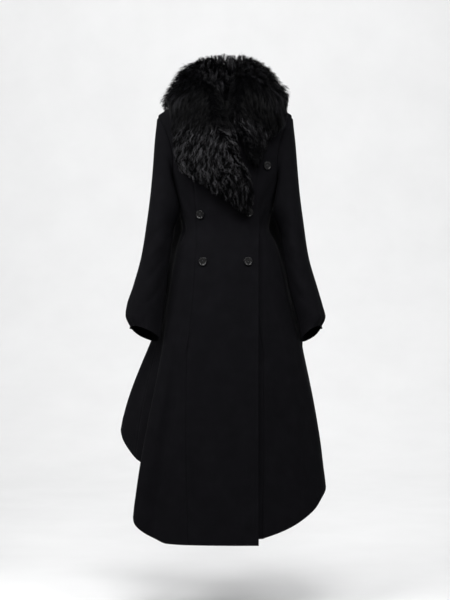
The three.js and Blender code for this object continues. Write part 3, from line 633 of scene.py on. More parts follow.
def sleeve(name, side):
    """The tube with its creases, seams and turned cuff. Its rows go from the cuff to the armhole."""
    grid, down, turn = sleeve_rings(side)
    grid, down = grid[::-1], down[::-1]
    if side < 0:
        grid, turn = grid[:, ::-1], turn[::-1]
    joined = np.concatenate([grid[:, -1:], grid, grid[:, :1]], axis=1)
    normals = unit(np.cross(joined[:, 2:] - joined[:, :-2], np.gradient(grid, axis=0)))
    ring = np.linalg.norm(np.diff(joined[:, :-1], axis=1), axis=-1)
    circumference = np.sum(ring, axis=1)[:, None]
    height = lengths(grid, 0)
    tall = height[-1].mean()
    degrees = turn[None, :] * 360
    relief = np.zeros(grid.shape[:2])
    for down0, turn0, down1, turn1, half_width, reach in SLEEVE_CREASES:
        across, run_x = (turned(d - turn0) / 360 * circumference for d in (degrees, turn1))
        below, run_z = (down - down0) * tall, (down1 - down0) * tall
        relief += crease(across, below, run_x, run_z, half_width, reach, 0.35)
    for seam in SLEEVE_SEAMS:
        relief += seam_relief(np.abs(turned(degrees - seam)) / 360 * circumference)
    relief *= smooth(down, 0.0, 0.06)
    # The sleeve's head stands up a little where the ease is shrunk in.
    head = smooth(down, 0.005, 0.03) * (1 - smooth(down, 0.03, 0.09))
    relief += 1.6 * head * smooth(np.abs(1 - turn * 2), 0.3, 0.9)
    relief += 0.5 * (1 - smooth(height, CUFF_TURN - 4, CUFF_TURN + 4))
    grid = grid + normals * relief[..., None]
    half = CLOTH / 2 * edge_round(np.minimum(height, height[-1:] - height) + 0.15)
    uv = np.stack([np.cumsum(ring, axis=1), height], -1) * MM
    piece = cloth(name, grid, normals, half, uv, height > CUFF_TURN, closed=True)
    area = float(np.sum(ring[1:] * np.diff(height, axis=0)))
    print(name, "faces", len(piece.data.polygons), "round", round(circumference.max()), "length", round(tall),
          "area m2", round(area * MM * MM, 3))
    return piece


for name, side in (("sleeve_right", -1), ("sleeve_left", 1)):
    panels[name] = sleeve(f"cloth_{name}", side)

# %% [markdown]
# ## The sheepskin under the fur
# The collar is a sheepskin with its wool on. Under the long hair there is dense short wool on the
# skin, and it gives the collar its body. So each half first gets a thick soft pad on the fronts
# and round the neck, a hair's depth smaller than the collar.
# %% The collar's form
# outer and neck edge, fur height at the outer edge, in between and at the neck, how upright
COLLAR_BACK = [
    ((180, -150), (180, 0), 26, 16, 122, 0.9), ((150, -140), (150, 0), 26, 16, 122, 0.9),
    ((122, -126), (122, 0), 25, 16, 113, 0.9), ((104, -110), (104, 0), 24, 15, 101, 0.9),
    ((86, -106), (86, 0), 24, 15, 94, 0.9), ((70, -112), (73, 0), 24, 15, 85, 0.85),
]
COLLAR_FRONT = {
    -1: [
        ((148, -54), (66, 6), 24, 16, 74, 0.8), ((144, -82), (48, 2), 24, 18, 46, 0.6),
        ((139, -113), (20, -14), 23, 18, 32, 0.3), ((132, -148), (-4, -52), 22, 18, 26, 0),
        ((126, -181), (-12, -80), 22, 18, 24, 0), ((120, -208), (-30, -117), 21, 18, 23, 0),
        ((98, -232), (-36, -156), 20, 18, 22, 0), ((62, -258), (-46, -196), 20, 16, 21, 0),
        ((24, -283), (-62, -230), 19, 14, 20, 0), ((-8, -306), (-71, -262), 18, 12, 19, 0),
        ((-32, -325), (-73, -292), 17, 10, 18, 0), ((-48, -337), (-70, -318), 16, 7, 16, 0),
        ((-60, -344), (-66, -338), 14, 4, 14, 0),
    ],
    1: [
        ((158, -52), (66, 6), 24, 16, 78, 0.8), ((156, -76), (44, 1), 24, 16, 72, 0.7),
        ((148, -100), (24, -8), 23, 15, 54, 0.6), ((132, -118), (8, -42), 21, 13, 28, 0),
        ((114, -134), (19, -80), 19, 11, 22, 0), ((106, -160), (42, -122), 17, 9, 20, 0),
        ((98, -188), (54, -160), 16, 7, 17, 0), ((86, -206), (66, -196), 14, 3, 14, 0),
    ],
}
HAIR_DEPTH = (13.0, 15.0)  # mm between the pad and the tips, at the neck and on the lapels
WALL_U = 0.97  # where the collar's top turns down into its inner wall
UP = np.array([0.0, 0.0, 1.0])


class Collar:
    """One half of the collar: places on it by v along it, u across it and a height in mm."""

    def __init__(self, side):
        rows = []
        for (a, b), (c, d), *heights in COLLAR_BACK:
            # The wearer's right side is combed a little closer over the shoulder.
            shorter = 10 if side < 0 and a < 90 else 0
            rows.append((side * a, b + shorter, side * c, d, *heights))
        for (x0, z0), (x1, z1), *heights in COLLAR_FRONT[side]:
            low, high = float(level_of(z0)), float(level_of(z1))
            outer, neck = float(angle_of(side * x0, low)), float(angle_of(side * x1, high))
            rows.append((outer, low, neck, high, *heights))
        columns = list(zip(*rows))
        self.stations = len(rows)
        self.outer = along(columns[0]), along(columns[1])
        self.neck = along(columns[2]), along(columns[3])
        self.edge, self.puff, self.rise, self.upright = (along(c) for c in columns[4:])

    def place(self, v, u):
        return mix(self.outer[0](v), self.neck[0](v), u), mix(self.outer[1](v), self.neck[1](v), u)

    def fur(self, v, u):
        u = np.clip(u, 0, 1)
        return mix(self.edge(v), self.rise(v), smooth(u)) + self.puff(v) * 4 * u * (1 - u)

    def pad(self, v, u):
        full = self.fur(v, u)
        return np.maximum(full - mix(*HAIR_DEPTH, smooth(v, 0.25, 0.55)), 0.35 * full)

    def at(self, v, u, height):
        angle, level = self.place(v, u)
        normal = body_normal(angle, level)
        base = body(angle, level) + normal * (COLLAR_LIFT + lap_at(angle, level))[..., None]
        lean = (self.upright(v) * np.clip(u, 0, 1))[..., None]
        rising = unit(mix(normal, UP, lean))
        return base + rising * np.asarray(height)[..., None], rising


def skin_pad(name, side):
    """The pad: closed rings round the collar's section, from the middle of the back to the tip."""
    shape = Collar(side)
    v = np.concatenate([[0.0], np.linspace(0.006, 0.985, 119)])[:, None]
    inset = 0.06
    under_u = np.linspace(inset, WALL_U, 12)
    wall = np.linspace(0, 1, 6)[1:-1]
    top_u = np.linspace(WALL_U, inset, 26)
    u = np.concatenate([under_u, np.full(len(wall), WALL_U), top_u, np.full(len(wall), inset)])[None, :]
    share = np.concatenate([np.zeros(len(under_u)), wall, np.ones(len(top_u)), wall[::-1]])[None, :]
    v, u, share = np.broadcast_arrays(v, u, share)
    crown = 1 - 0.35 * np.exp(-(((u - inset) / 0.06) ** 2)) - 0.02 * np.exp(-(((u - WALL_U) / 0.05) ** 2))
    points, _ = shape.at(v, u, share * shape.pad(v, u) * crown)
    points[0, :, 0] = 0  # the two halves are sewn together here
    rings, count = points.shape[:2]
    index = grid_index(rings, count, True)
    # Both ends are closed by a fan of triangles round a hub.
    fans = []
    for k, ring in enumerate((index[0, :-1], index[-1, :-1])):
        fan = np.stack([np.full(count, rings * count + k), np.roll(ring, -1), ring], -1)
        fans.append(fan if k == 0 else fan[:, ::-1])
    hubs = np.stack([points[0].mean(axis=0), points[-1].mean(axis=0)])
    faces = [grid_faces(index), np.concatenate(fans)]
    if side > 0:
        faces = [f[:, ::-1] for f in faces]
    piece = new_mesh(name, np.concatenate([points.reshape(-1, 3), hubs]), faces)
    print(name, "faces", len(piece.data.polygons))
    return piece


pads = {side: skin_pad(name, side) for name, side in (("collar_pad_right", -1), ("collar_pad_left", 1))}

# %% [markdown]
# ## The fur
# Sheepskin hair grows out of the skin, leans the way it is combed and joins its neighbours in
# locks. Round the neck it is long and nearly straight, and on the lapels it curls. Hair curves
# would not be part of the exported meshes, so each hair is a narrow tapering ribbon. A ribbon
# starts on the pad, follows the collar's form, is drawn towards the middle of its lock and winds
# with it. All numbers come from one seeded source, so the fur is the same every time.
# %% Where hairs grow
POINTS_ALONG = 8
EDGE_RUN = 4.5  # mm that hair goes past the collar's outline
FLY_SHARE = 0.07  # a few hairs stand off and keep to no lock
# the share of locks that get a light tone, partly a lighter tone of the wool and partly painted highlight
TONE_AND_HIGHLIGHT_SHARE = 0.3  # the share of locks that are light
TAPER = ([0, 0.15, 0.6, 0.85, 1], [0.7, 1.0, 0.9, 0.55, 0.0])  # a ribbon's width along it


def constant(value):
    return lambda v, u: np.full(np.shape(v), float(value))


def roots(rng, shape, dense, count, span, wall):
    """Places where hairs grow, and the mm that one unit of v and one of u stand for there."""
    tries = count * 4
    v = rng.uniform(*span, tries)
    u = np.full(tries, WALL_U) if wall else rng.uniform(0.03, 0.99, tries)
    share = rng.uniform(0.1, 1.0, tries)
    height = shape.pad(v, u) * (share if wall else 1.0)
    here = shape.at(v, u, height)[0]
    step = 0.004
    low, high = np.clip(v - step, 0, 1), np.clip(v + step, 0, 1)
    along_v = (shape.at(high, u, height)[0] - shape.at(low, u, height)[0]) / (high - low)[:, None]
    across_u = (shape.at(v, u + step, height)[0] - shape.at(v, u - step, height)[0]) / (2 * step)
    weight = np.linalg.norm(along_v if wall else np.cross(along_v, across_u), axis=1) * dense(v, u)
    picked = rng.choice(tries, count, replace=False, p=weight / weight.sum())
    reach_v, reach_u = (np.linalg.norm(way[picked], axis=1)[:, None] for way in (along_v, across_u))
    return v[picked], u[picked], height[picked], here[picked], reach_v, reach_u


def gather(rng, here, per_lock):
    """Locks: every hair belongs to the nearest of a few hairs that lead."""
    count, part = len(here), 2000
    leaders = rng.choice(count, max(int(count / per_lock), 4), replace=False)
    lock = np.empty(count, int)
    for start in range(0, count, part):
        gap = ((here[start:start + part, None] - here[None, leaders]) ** 2).sum(-1)
        lock[start:start + part] = gap.argmin(axis=1)
    return leaders, lock


# %% [markdown]
# ## The way that a hair takes
# A hair rises from the pad to the fur's top and leans the way it is combed. At the collar's outline
# it bends down round the edge, and on the inner wall it stands off the wall. Then all hairs of a
# lock wind together, which makes the curls.
# %% The paths of hairs
def paths_inside(shape, v, height, length, longer, full, t):
    """Up the collar's inner wall and away from it. All but t are columns, as below."""
    lift = np.minimum(height + length * 0.8 * t, full + 2.0)
    paths, _ = shape.at(v + 0 * t, WALL_U + 0 * t, lift)
    inward = -paths.copy()
    inward[..., 2] = 0
    inward = unit(inward)
    return paths + inward * (9.0 * np.sin(np.pi * 0.5 * t) * longer)[..., None], inward


def paths_over(shape, v, u, height, top, along_u, along_v, reach_v, reach_u, t):
    """Over the collar, from the pad up to the fur's top. Along_u and along_v are mm along the hair."""
    lift = mix(height, np.maximum(top, height + 3), np.sin(np.pi / 2 * np.minimum(t * 1.25, 1)))
    path_u, path_v = u + along_u / reach_u, v + along_v / reach_v
    # Past the collar's outline a hair bends down round its edge instead of going on.
    over, past = np.minimum(path_u * reach_u, 0), np.minimum((1 - path_v) * reach_v, 0)
    path_u = np.where(over < 0, -EDGE_RUN * (1 - np.exp(over / EDGE_RUN)) / reach_u, path_u)
    path_v = np.where(past < 0, 1 + EDGE_RUN * (1 - np.exp(past / EDGE_RUN)) / reach_v, path_v)
    lift = np.maximum(lift + 0.75 * over + 0.5 * past, 3.0)
    inside_v = np.clip(path_v, 0.0, 1.0)
    paths, normals = shape.at(inside_v, np.clip(path_u, -0.25, 1.0), lift)
    tip, before_tip = (shape.at(np.full(1, end), np.full(1, 0.5), np.zeros(1))[0] for end in (1.0, 0.97))
    past_tip = (path_v - inside_v) * reach_v
    return paths + past_tip[..., None] * unit(tip - before_tip)[0], normals


def wind(rng, paths, normals, wave, curl, run, lock, locks, t):
    """Wind each lock: all of its hairs turn together."""
    binormal = unit(np.cross(unit(np.gradient(paths, axis=1)), normals))
    wave = wave * rng.uniform(0.75, 1.3, locks)[lock]
    phase = rng.uniform(0, 2 * np.pi, locks)[lock] + rng.normal(0, 0.35, len(lock))
    hand = np.where(rng.random(locks)[lock] < 0.5, -1, 1)
    turns = phase[:, None] + hand[:, None] * 2 * np.pi * run / wave[:, None]
    curl = (curl * rng.uniform(0.6, 1.35, locks)[lock])[:, None] * smooth(t, 0.0, 0.55)
    paths = paths + binormal * (curl * (np.cos(turns) - np.cos(phase)[:, None]))[..., None]
    return paths + normals * (0.6 * curl * np.sin(turns))[..., None]


# %% [markdown]
# ## From paths to ribbons
# Each path becomes a narrow ribbon, twisted a little at random. One function then takes all the
# steps for a stretch of fur. Every lock has a tone of its own, which the material reads. The light
# tones are partly a lighter tone of the wool and partly painted highlights.
# %% Hair ribbons
def ribbons(rng, paths, normals, width, t):
    """Points, faces and UV: two points at each step along a hair, and a single one at its tip."""
    count = len(paths)
    tangent = unit(np.gradient(paths, axis=1))
    binormal = unit(np.cross(normals, tangent))
    twist = rng.normal(0, 0.5, count)[:, None] + rng.normal(0, 0.6, count)[:, None] * t
    cosine, sine = np.cos(twist)[..., None], np.sin(twist)[..., None]
    across = unit(binormal * cosine + np.cross(tangent, binormal) * sine)
    half = (width / 2 * rng.uniform(0.6, 1.35, count))[:, None] * np.interp(t[0], *TAPER)[None, :]
    per = 2 * POINTS_ALONG - 1
    points, uv = np.empty((count, per, 3)), np.zeros((count, per, 2))
    points[:, 0:-1:2] = (paths - across * half[..., None])[:, :-1]
    points[:, 1:-1:2] = (paths + across * half[..., None])[:, :-1]
    points[:, -1] = paths[:, -1]
    uv[:, 0:-1:2, 1] = uv[:, 1:-1:2, 1] = t[:, :-1]
    uv[:, 1:-1:2, 0] = 1
    uv[:, -1] = (0.5, 1)
    steps = np.arange(POINTS_ALONG - 2) * 2
    start = (np.arange(count) * per)[:, None, None]
    quads = (start + np.stack([steps, steps + 1, steps + 3, steps + 2], -1)[None]).reshape(-1, 4)
    tips = (start + np.array([[per - 3, per - 2, per - 1]])[None]).reshape(-1, 3)
    return points.reshape(-1, 3), [quads, tips], uv.reshape(-1, 2)


USUAL = {
    "crest": 0.0, "uneven": 2.5, "dense": constant(1), "lower": constant(0), "bright": constant(1),
    "shiny": constant(0),
}


def hair(name, side, count, span, habits, seed, wall=False):
    """Ribbons on one stretch of a collar half. Span is its range of v. Habits say how its hair grows."""
    rng = np.random.default_rng(seed)
    rules = {**USUAL, **habits}
    shape = Collar(side)
    v, u, height, here, reach_v, reach_u = roots(rng, shape, rules["dense"], count, span, wall)
    leaders, lock = gather(rng, here, rules["per_lock"])
    locks = len(leaders)
    lean = np.radians(rules["lean"](v, u) + rng.normal(0, 7, locks)[lock] + rng.normal(0, 4, count))
    longer = rng.uniform(0.8, 1.2, locks)[lock] * rng.uniform(0.85, 1.1, count)
    length = rules["length"](v, u) * longer
    crest = rules["crest"] * smooth(u, 0.75, 0.95) * (1 - smooth(v, 0.02, 0.17))
    crest = crest * (1 + 0.45 * (1 - smooth(v, 0.0, 0.05)))  # no dip where the two halves meet
    full = shape.fur(v, u) + crest
    top = full + rng.normal(rules["lift"], rules["uneven"], locks)[lock]
    fly = rng.random(count) < FLY_SHARE
    top = top - rules["lower"](v, u) + rng.normal(0, 1.5, count) + fly * rng.uniform(2, 7, count)
    t = np.linspace(0, 1, POINTS_ALONG)[None, :]
    run = length[:, None] * t**1.25
    if wall:
        columns = (values[:, None] for values in (v, height, length, longer, full))
        paths, normals = paths_inside(shape, *columns, t)
    else:
        along_u = rules["side_way"](v, u)[:, None] * np.cos(lean)[:, None] * run
        columns = (values[:, None] for values in (v, u, height, top))
        paths, normals = paths_over(
            shape, *columns, along_u, np.sin(lean)[:, None] * run, reach_v, reach_u, t
        )
    paths[..., 2] -= rules["droop"] * t**2

    # Draw each hair towards its lock's leader, more and more towards the tip.
    offset = (here - here[leaders][lock])[:, None, :]
    held = np.where(fly, 0.2, 1.0) * (1 - 0.05 * np.minimum(crest, 14))
    pull = (rules["clump"] * t**1.3 * held[:, None])[..., None]
    paths = mix(paths, paths[leaders][lock] + 0.22 * offset, pull)
    paths = wind(rng, paths, normals, rules["wave"](v, u), rules["curl"](v, u), run, lock, locks, t)
    stray = rules["stray"] * t**2 * np.where(fly, 2.0, 1.0)[:, None]
    paths = paths + rng.normal(0, 1, (count, 1, 3)) * stray[..., None]
    points, faces, uv = ribbons(rng, paths, normals, rules["width"], t)

    # Each lock's tone. A light one is partly painted highlight, and the bright rule scales it over the
    # collar.
    tone = rng.uniform(0, 1, locks)
    toned_and_highlit = rng.random(locks) < TONE_AND_HIGHLIGHT_SHARE
    tone = np.where(toned_and_highlit, 0.35 + 0.65 * tone, 0.1 * tone)[lock] * rng.uniform(0.5, 1.15, count)
    tone = np.repeat(np.clip(tone * rules["bright"](v, u), 0, 1), 2 * POINTS_ALONG - 1)
    piece = new_mesh(name, points, faces, uv=uv, tone=tone)
    curled = (rng.random(count) < rules["shiny"](v, u)).astype(np.int32)
    curled = np.concatenate([np.repeat(curled, POINTS_ALONG - 2), curled])
    piece.data.polygons.foreach_set("material_index", curled)
    print(name, "hairs", count, "locks", locks, "triangles", sum(len(f) * (f.shape[1] - 2) for f in faces))
    return piece


# %% [markdown]
# ## Combing the fur
# The same helper makes every stretch. Only its rules change: how long the hair is, which way it
# leans, how much it curls and how strongly it gathers in locks.
# %% Stretches of fur
OUTWARD = lambda v, u: -mix(0.12, 1.0, smooth(1 - u, 0.0, 0.35))
PARTED = lambda v, u: np.where(u < 0.86, -1.0, 0.6)
LAPEL_STATION = 7.5  # the collar's station where the lapels begin

# where the curly wool begins on each half: at its outer edge and at its neck edge
CURLS_FROM = {-1: (0.34, 0.53), 1: (0.62, 0.66)}


def curly(side, strong, **more):
    """Lapel hair. Strong says how light its curls are painted: partly a lighter tone and partly painted
    highlight.
    """
    edge, neck = CURLS_FROM[side]
    part = lambda v, u: smooth(v - mix(edge, neck, u), 0.0, 0.1)
    return {
        "per_lock": 5, "lean": lambda v, u: 36 + 22 * v, "length": lambda v, u: 36 - 12 * v,
        "lift": -2.0, "side_way": PARTED, "droop": 3.0, "clump": 0.8,
        "wave": lambda v, u: 24 - 12.5 * part(v, u), "curl": lambda v, u: 1.2 + 1.7 * part(v, u),
        "stray": 0.7, "width": 0.6, "uneven": 3.4,
        # The tone's scale is low before the curls begin, raised on the curls as painted highlight, and lower
        # towards the lapel's tip.
        "bright": lambda v, u: (0.2 + strong * part(v, u)) * (1 - 0.6 * smooth(v, 0.72, 0.88)),
        "shiny": part, **more,
    }


SOFT = {
    "per_lock": 16, "lean": lambda v, u: 14 * smooth(v, 0.02, 0.15) + 40 * v,
    "length": lambda v, u: 34 - 8 * u, "lift": -1.0, "side_way": OUTWARD, "droop": 2.0, "clump": 0.6,
    "uneven": 4.0, "wave": constant(26), "curl": constant(1.6), "stray": 1.6, "width": 0.7, "crest": 10.0,
    "dense": lambda v, u: 1 + smooth(u, 0.75, 0.95) * (
        2.5 - 2.5 * smooth(v, 0.1, 0.25) + 3 - 3 * smooth(v, 0.0, 0.06)
    ),
}
# Half of the inner wall's hairs take the curly material, whose light locks are painted highlights.
INNER = {
    "per_lock": 16, "lean": constant(0), "length": constant(30), "lift": 0.0, "side_way": OUTWARD,
    "droop": 1.0, "clump": 0.6, "wave": constant(16), "curl": constant(2.2), "stray": 1.8, "width": 0.9,
    "crest": 13.0, "bright": constant(0.7), "shiny": constant(0.5),
}
SOFT_RIGHT = {**SOFT, "lower": lambda v, u: 14 * smooth(1 - u, 0.4, 1.0) * smooth(v, 0.15, 0.27)}
RIGHT_CURLS = curly(-1, 0.9)
LEFT_CURLS = curly(1, 0.5, lower=lambda v, u: 9 * smooth(1 - u, 0.55, 1.0) * (1 - smooth(v, 0.66, 0.8)))
right_start, left_start = (LAPEL_STATION / (Collar(side).stations - 1) for side in (-1, 1))
# name, side, hairs, range along the collar, habits, seed, whether it grows on the inner wall
FURS = [
    ("fur_neck_right", -1, 10500, (0.0, right_start + 0.02), SOFT_RIGHT, 11),
    ("fur_lapel_right", -1, 14500, (right_start - 0.02, 0.995), RIGHT_CURLS, 12),
    ("fur_neck_left", 1, 10500, (0.0, left_start + 0.02), SOFT, 13),
    ("fur_lapel_left", 1, 6500, (left_start - 0.02, 0.995), LEFT_CURLS, 14),
    ("fur_inside_right", -1, 3200, (0.0, 0.52), INNER, 15, True),
    ("fur_inside_left", 1, 3200, (0.0, 0.66), INNER, 16, True),
]
furs = [hair(*row) for row in FURS]

# %% [markdown]
# ## The buttons
# The coat closes with black horn-like buttons, 25 mm across, with four holes, a raised rim and a
# dished middle. One is modelled by hand from a cylinder: its top is inset for the rim and sunk for
# the dish, its edges are bevelled and four holes are cut. Two loops of thread run through the
# holes. Then it is copied to the six places, and each copy is turned to face out of the cloth.
# %% One button
BUTTON = {"radius": 12.3, "thick": 4.2, "rim": 2.2, "dish": 1.3}
HOLE = {"radius": 1.0, "from_middle": 2.5}
THREAD = 0.42


def bare():
    if bpy.context.object and bpy.context.object.mode != "OBJECT":
        bpy.ops.object.mode_set(mode="OBJECT")
    bpy.ops.object.select_all(action="DESELECT")


def edit(piece, kind, wanted):
    """Edit mode with just the faces or edges selected for which wanted is true."""
    bpy.ops.object.mode_set(mode="EDIT")
    bpy.ops.mesh.select_mode(type=kind)
    bpy.ops.mesh.select_all(action="DESELECT")
    bpy.ops.object.mode_set(mode="OBJECT")
    for part in piece.data.polygons if kind == "FACE" else piece.data.edges:
        part.select = wanted(part)
    bpy.ops.object.mode_set(mode="EDIT")


def make_button():
    bare()
    radius, thick = BUTTON["radius"] * MM, BUTTON["thick"] * MM
    bpy.ops.mesh.primitive_cylinder_add(
        vertices=56, radius=radius, depth=thick * 0.85, location=(0, 0, thick * 0.575)
    )
    piece = bpy.context.object
    bpy.ops.object.transform_apply(location=True, rotation=True, scale=True)
    edit(piece, "FACE", lambda f: f.normal.z > 0.9)
    bpy.ops.mesh.inset(thickness=BUTTON["rim"] * MM)
    bpy.ops.mesh.inset(thickness=0.9 * MM)
    bpy.ops.transform.translate(value=(0, 0, -BUTTON["dish"] * MM))
    bpy.ops.mesh.inset(thickness=3.0 * MM)
    bpy.ops.transform.translate(value=(0, 0, -0.25 * MM))
    edit(piece, "FACE", lambda f: f.normal.z < -0.9)
    bpy.ops.mesh.inset(thickness=4.5 * MM)
    bpy.ops.transform.translate(value=(0, 0, -0.5 * MM))
    bpy.ops.object.mode_set(mode="OBJECT")
    bevel = piece.modifiers.new("round", "BEVEL")
    bevel.width, bevel.segments = 0.55 * MM, 3
    bevel.limit_method, bevel.angle_limit = "ANGLE", math.radians(35)
    bpy.ops.object.modifier_apply(modifier=bevel.name)
    for k in range(4):
        turn, away = math.radians(45 + 90 * k), HOLE["from_middle"] * MM
        bare()
        bpy.ops.mesh.primitive_cylinder_add(
            vertices=18, radius=HOLE["radius"] * MM, depth=3 * thick,
            location=(away * math.cos(turn), away * math.sin(turn), thick / 2),
        )
        drill = bpy.context.object
        bare()
        piece.select_set(True)
        bpy.context.view_layer.objects.active = piece
        cut = piece.modifiers.new("hole", "BOOLEAN")
        cut.object, cut.operation, cut.solver = drill, "DIFFERENCE", "EXACT"
        bpy.ops.object.modifier_apply(modifier=cut.name)
        bpy.data.objects.remove(drill)
    bpy.ops.object.shade_smooth_by_angle(angle=math.radians(32))
    piece.name = "button"
    return piece


def make_thread():
    """Two loops of thread, each through a pair of holes."""
    loops = []
    for way in (-1, 1):
        bare()
        across = HOLE["from_middle"] * math.sqrt(0.5)
        bpy.ops.mesh.primitive_torus_add(
            major_segments=28, minor_segments=8, major_radius=across * MM, minor_radius=THREAD * MM,
            location=(0, way * across * MM, (BUTTON["thick"] - BUTTON["dish"] - 0.7) * MM),
            rotation=(math.radians(90), 0, 0),
        )
        loop = bpy.context.object
        bpy.ops.transform.resize(value=(1, 1, 0.55))
        bpy.ops.object.transform_apply(location=True, rotation=True, scale=True)
        bpy.ops.object.shade_smooth()
        loops.append(loop)
    bare()
    for loop in loops:
        loop.select_set(True)
    bpy.context.view_layer.objects.active = loops[0]
    bpy.ops.object.join()
    return loops[0]


button_shape, thread_shape = make_button(), make_thread()
print("button faces", len(button_shape.data.polygons), "thread faces", len(thread_shape.data.polygons))

# %% The six places
# name, x, height, whether it sits on the lapping front, degrees that it is spun round
BUTTONS = [
    ("upper_right", -121, -208, False, 12), ("upper_left", 122, -205, False, 75),
    ("middle_right", -72, -349, True, 24), ("middle_left", 68, -342, True, 50),
    ("lower_right", -64, -488, True, 38), ("lower_left", 66, -488, True, 66),
]
buttons = {}
for name, x, z, lapped, spin in BUTTONS:
    level = level_of(z)
    angle = angle_of(x, level)
    normal = body_normal(angle, level)
    stand = CLOTH / 2 + 0.5 + (float(lap_at(angle, level)) if lapped else 0.0)
    middle = Vector((body(angle, level) + normal * stand) * MM)
    turn = Vector(normal).to_track_quat("Z", "Y").to_matrix().to_4x4()
    matrix = Matrix.Translation(middle) @ turn @ Matrix.Rotation(math.radians(spin), 4, "Z")
    buttons[name] = []
    for kind, shape in (("button_seen", button_shape), ("thread", thread_shape)):
        copy = new_object(f"{kind}_{name}", shape.data.copy())
        copy.data.transform(matrix)
        buttons[name].append(copy)
for shape in (button_shape, thread_shape):
    bpy.data.objects.remove(shape)
print("buttons", len(buttons))

# %% [markdown]
# ## Wool cloth
# Black melton is a felted wool: no weave shows, but short fibres lie over it, catch a little light
# at grazing angles and make the surface uneven. The colour is nearly black and a trace cooler than
# grey. The fibre pattern follows each piece's own cut, so it turns with the panel.
# %% Material helpers
def material(name, **sockets):
    made = bpy.data.materials.new(name)
    made.use_nodes = True
    shader = made.node_tree.nodes["Principled BSDF"]
    for key, value in sockets.items():
        shader.inputs[key.replace("_", " ")].default_value = value
    return made, made.node_tree, shader


def node(tree, kind, **settings):
    made = tree.nodes.new(kind)
    for key, value in settings.items():
        if key in made.inputs:
            made.inputs[key].default_value = value
        else:
            setattr(made, key, value)
    return made


def noise(tree, vector, scale, detail=3.0, rough=0.6, stretch=(1, 1, 1)):
    """Noise over a vector, drawn out along an axis by stretch."""
    mapping = node(tree, "ShaderNodeMapping")
    mapping.inputs["Scale"].default_value = stretch
    tree.links.new(vector, mapping.inputs["Vector"])
    made = node(tree, "ShaderNodeTexNoise")
    made.inputs["Scale"].default_value = scale
    made.inputs["Detail"].default_value = detail
    made.inputs["Roughness"].default_value = rough
    tree.links.new(mapping.outputs["Vector"], made.inputs["Vector"])
    return made.outputs["Fac"]


def ramp(tree, factor, *stops):
    made = node(tree, "ShaderNodeValToRGB")
    elements = made.color_ramp.elements
    while len(elements) < len(stops):
        elements.new(0.5)
    for element, (place, colour) in zip(elements, stops):
        element.position, element.color = place, (*colour, 1)
    tree.links.new(factor, made.inputs["Fac"])
    return made.outputs["Color"]


def bumps(tree, shader, *layers):
    """Chained bumps: (height, distance in metres, strength)."""
    normal = None
    for height, distance, strength in layers:
        made = node(tree, "ShaderNodeBump")
        made.inputs["Distance"].default_value = distance
        made.inputs["Strength"].default_value = strength
        tree.links.new(height, made.inputs["Height"])
        if normal:
            tree.links.new(normal, made.inputs["Normal"])
        normal = made.outputs["Normal"]
    if normal:
        tree.links.new(normal, shader.inputs["Normal"])


def blended(tree, first, second, share):
    made = node(tree, "ShaderNodeMix", data_type="FLOAT")
    made.inputs["Factor"].default_value = share
    tree.links.new(first, made.inputs["A"])
    tree.links.new(second, made.inputs["B"])
    return made.outputs["Result"]


def scaled(tree, factor, low, high):
    made = node(tree, "ShaderNodeMapRange")
    made.inputs["To Min"].default_value, made.inputs["To Max"].default_value = low, high
    tree.links.new(factor, made.inputs["Value"])
    return made.outputs["Result"]


def patterned(name, layers, colours, rough=None, bump=(), blend=None, **sockets):
    """A material whose colour, roughness and bumps follow layers of noise.

    A layer names what it lies on, the piece's place or its cut, and then its noise. Colours, rough
    and bump name the layer that they follow. Blend mixes two layers into one more.
    """
    made, tree, shader = material(name, **sockets)
    fields = {}
    for key, (lies_on, *how) in layers.items():
        if lies_on == "cut":
            source = node(tree, "ShaderNodeUVMap", uv_map="cut").outputs["UV"]
        else:
            source = node(tree, "ShaderNodeTexCoord").outputs["Object"]
        fields[key] = noise(tree, source, *how)
    if blend:
        fields["blend"] = blended(tree, fields[blend[0]], fields[blend[1]], blend[2])
    colour = ramp(tree, fields[colours[0]], *colours[1:])
    tree.links.new(colour, shader.inputs["Base Color"])
    if rough:
        tree.links.new(scaled(tree, fields[rough[0]], *rough[1:]), shader.inputs["Roughness"])
    bumps(tree, shader, *((fields[key], distance, strength) for key, distance, strength in bump))
    return made


# %% Wool and lining
wool = patterned(
    "black_melton_wool",
    layers={
        "patches": ("place", 26, 4, 0.55), "fibres": ("cut", 420, 4, 0.7, (1.6, 0.35, 1)),
        "pills": ("place", 950, 2, 0.6),
    },
    blend=("patches", "fibres", 0.45),
    colours=(
        "blend", (0.3, (0.0020, 0.00196, 0.0025)), (0.52, (0.0027, 0.0026, 0.0033)),
        (0.72, (0.0037, 0.0036, 0.0045)),
    ),
    rough=("fibres", 0.78, 0.98),
    bump=[("fibres", 0.0006, 0.55), ("pills", 0.0003, 0.5), ("patches", 0.002, 0.25)],
    Roughness=0.9, Specular_IOR_Level=0.03, Sheen_Weight=0.006, Sheen_Roughness=0.5,
    Sheen_Tint=(0.62, 0.64, 0.72, 1),
)
lining = patterned(
    "black_satin_lining",
    layers={"threads": ("cut", 900, 2, 0.5, (2.2, 0.2, 1)), "ripples": ("place", 18, 3, 0.5, (1, 1, 0.4))},
    colours=("threads", (0.35, (0.0015, 0.0015, 0.0018)), (0.65, (0.003, 0.003, 0.0035))),
    rough=("threads", 0.32, 0.46),
    bump=[("threads", 0.0002, 0.3), ("ripples", 0.004, 0.35)],
    Roughness=0.38, Specular_IOR_Level=0.4, Sheen_Weight=0.15, Sheen_Roughness=0.3,
)
for piece in panels.values():
    piece.data.materials.append(wool)
    piece.data.materials.append(lining)
print("wool and lining on", len(panels), "pieces")
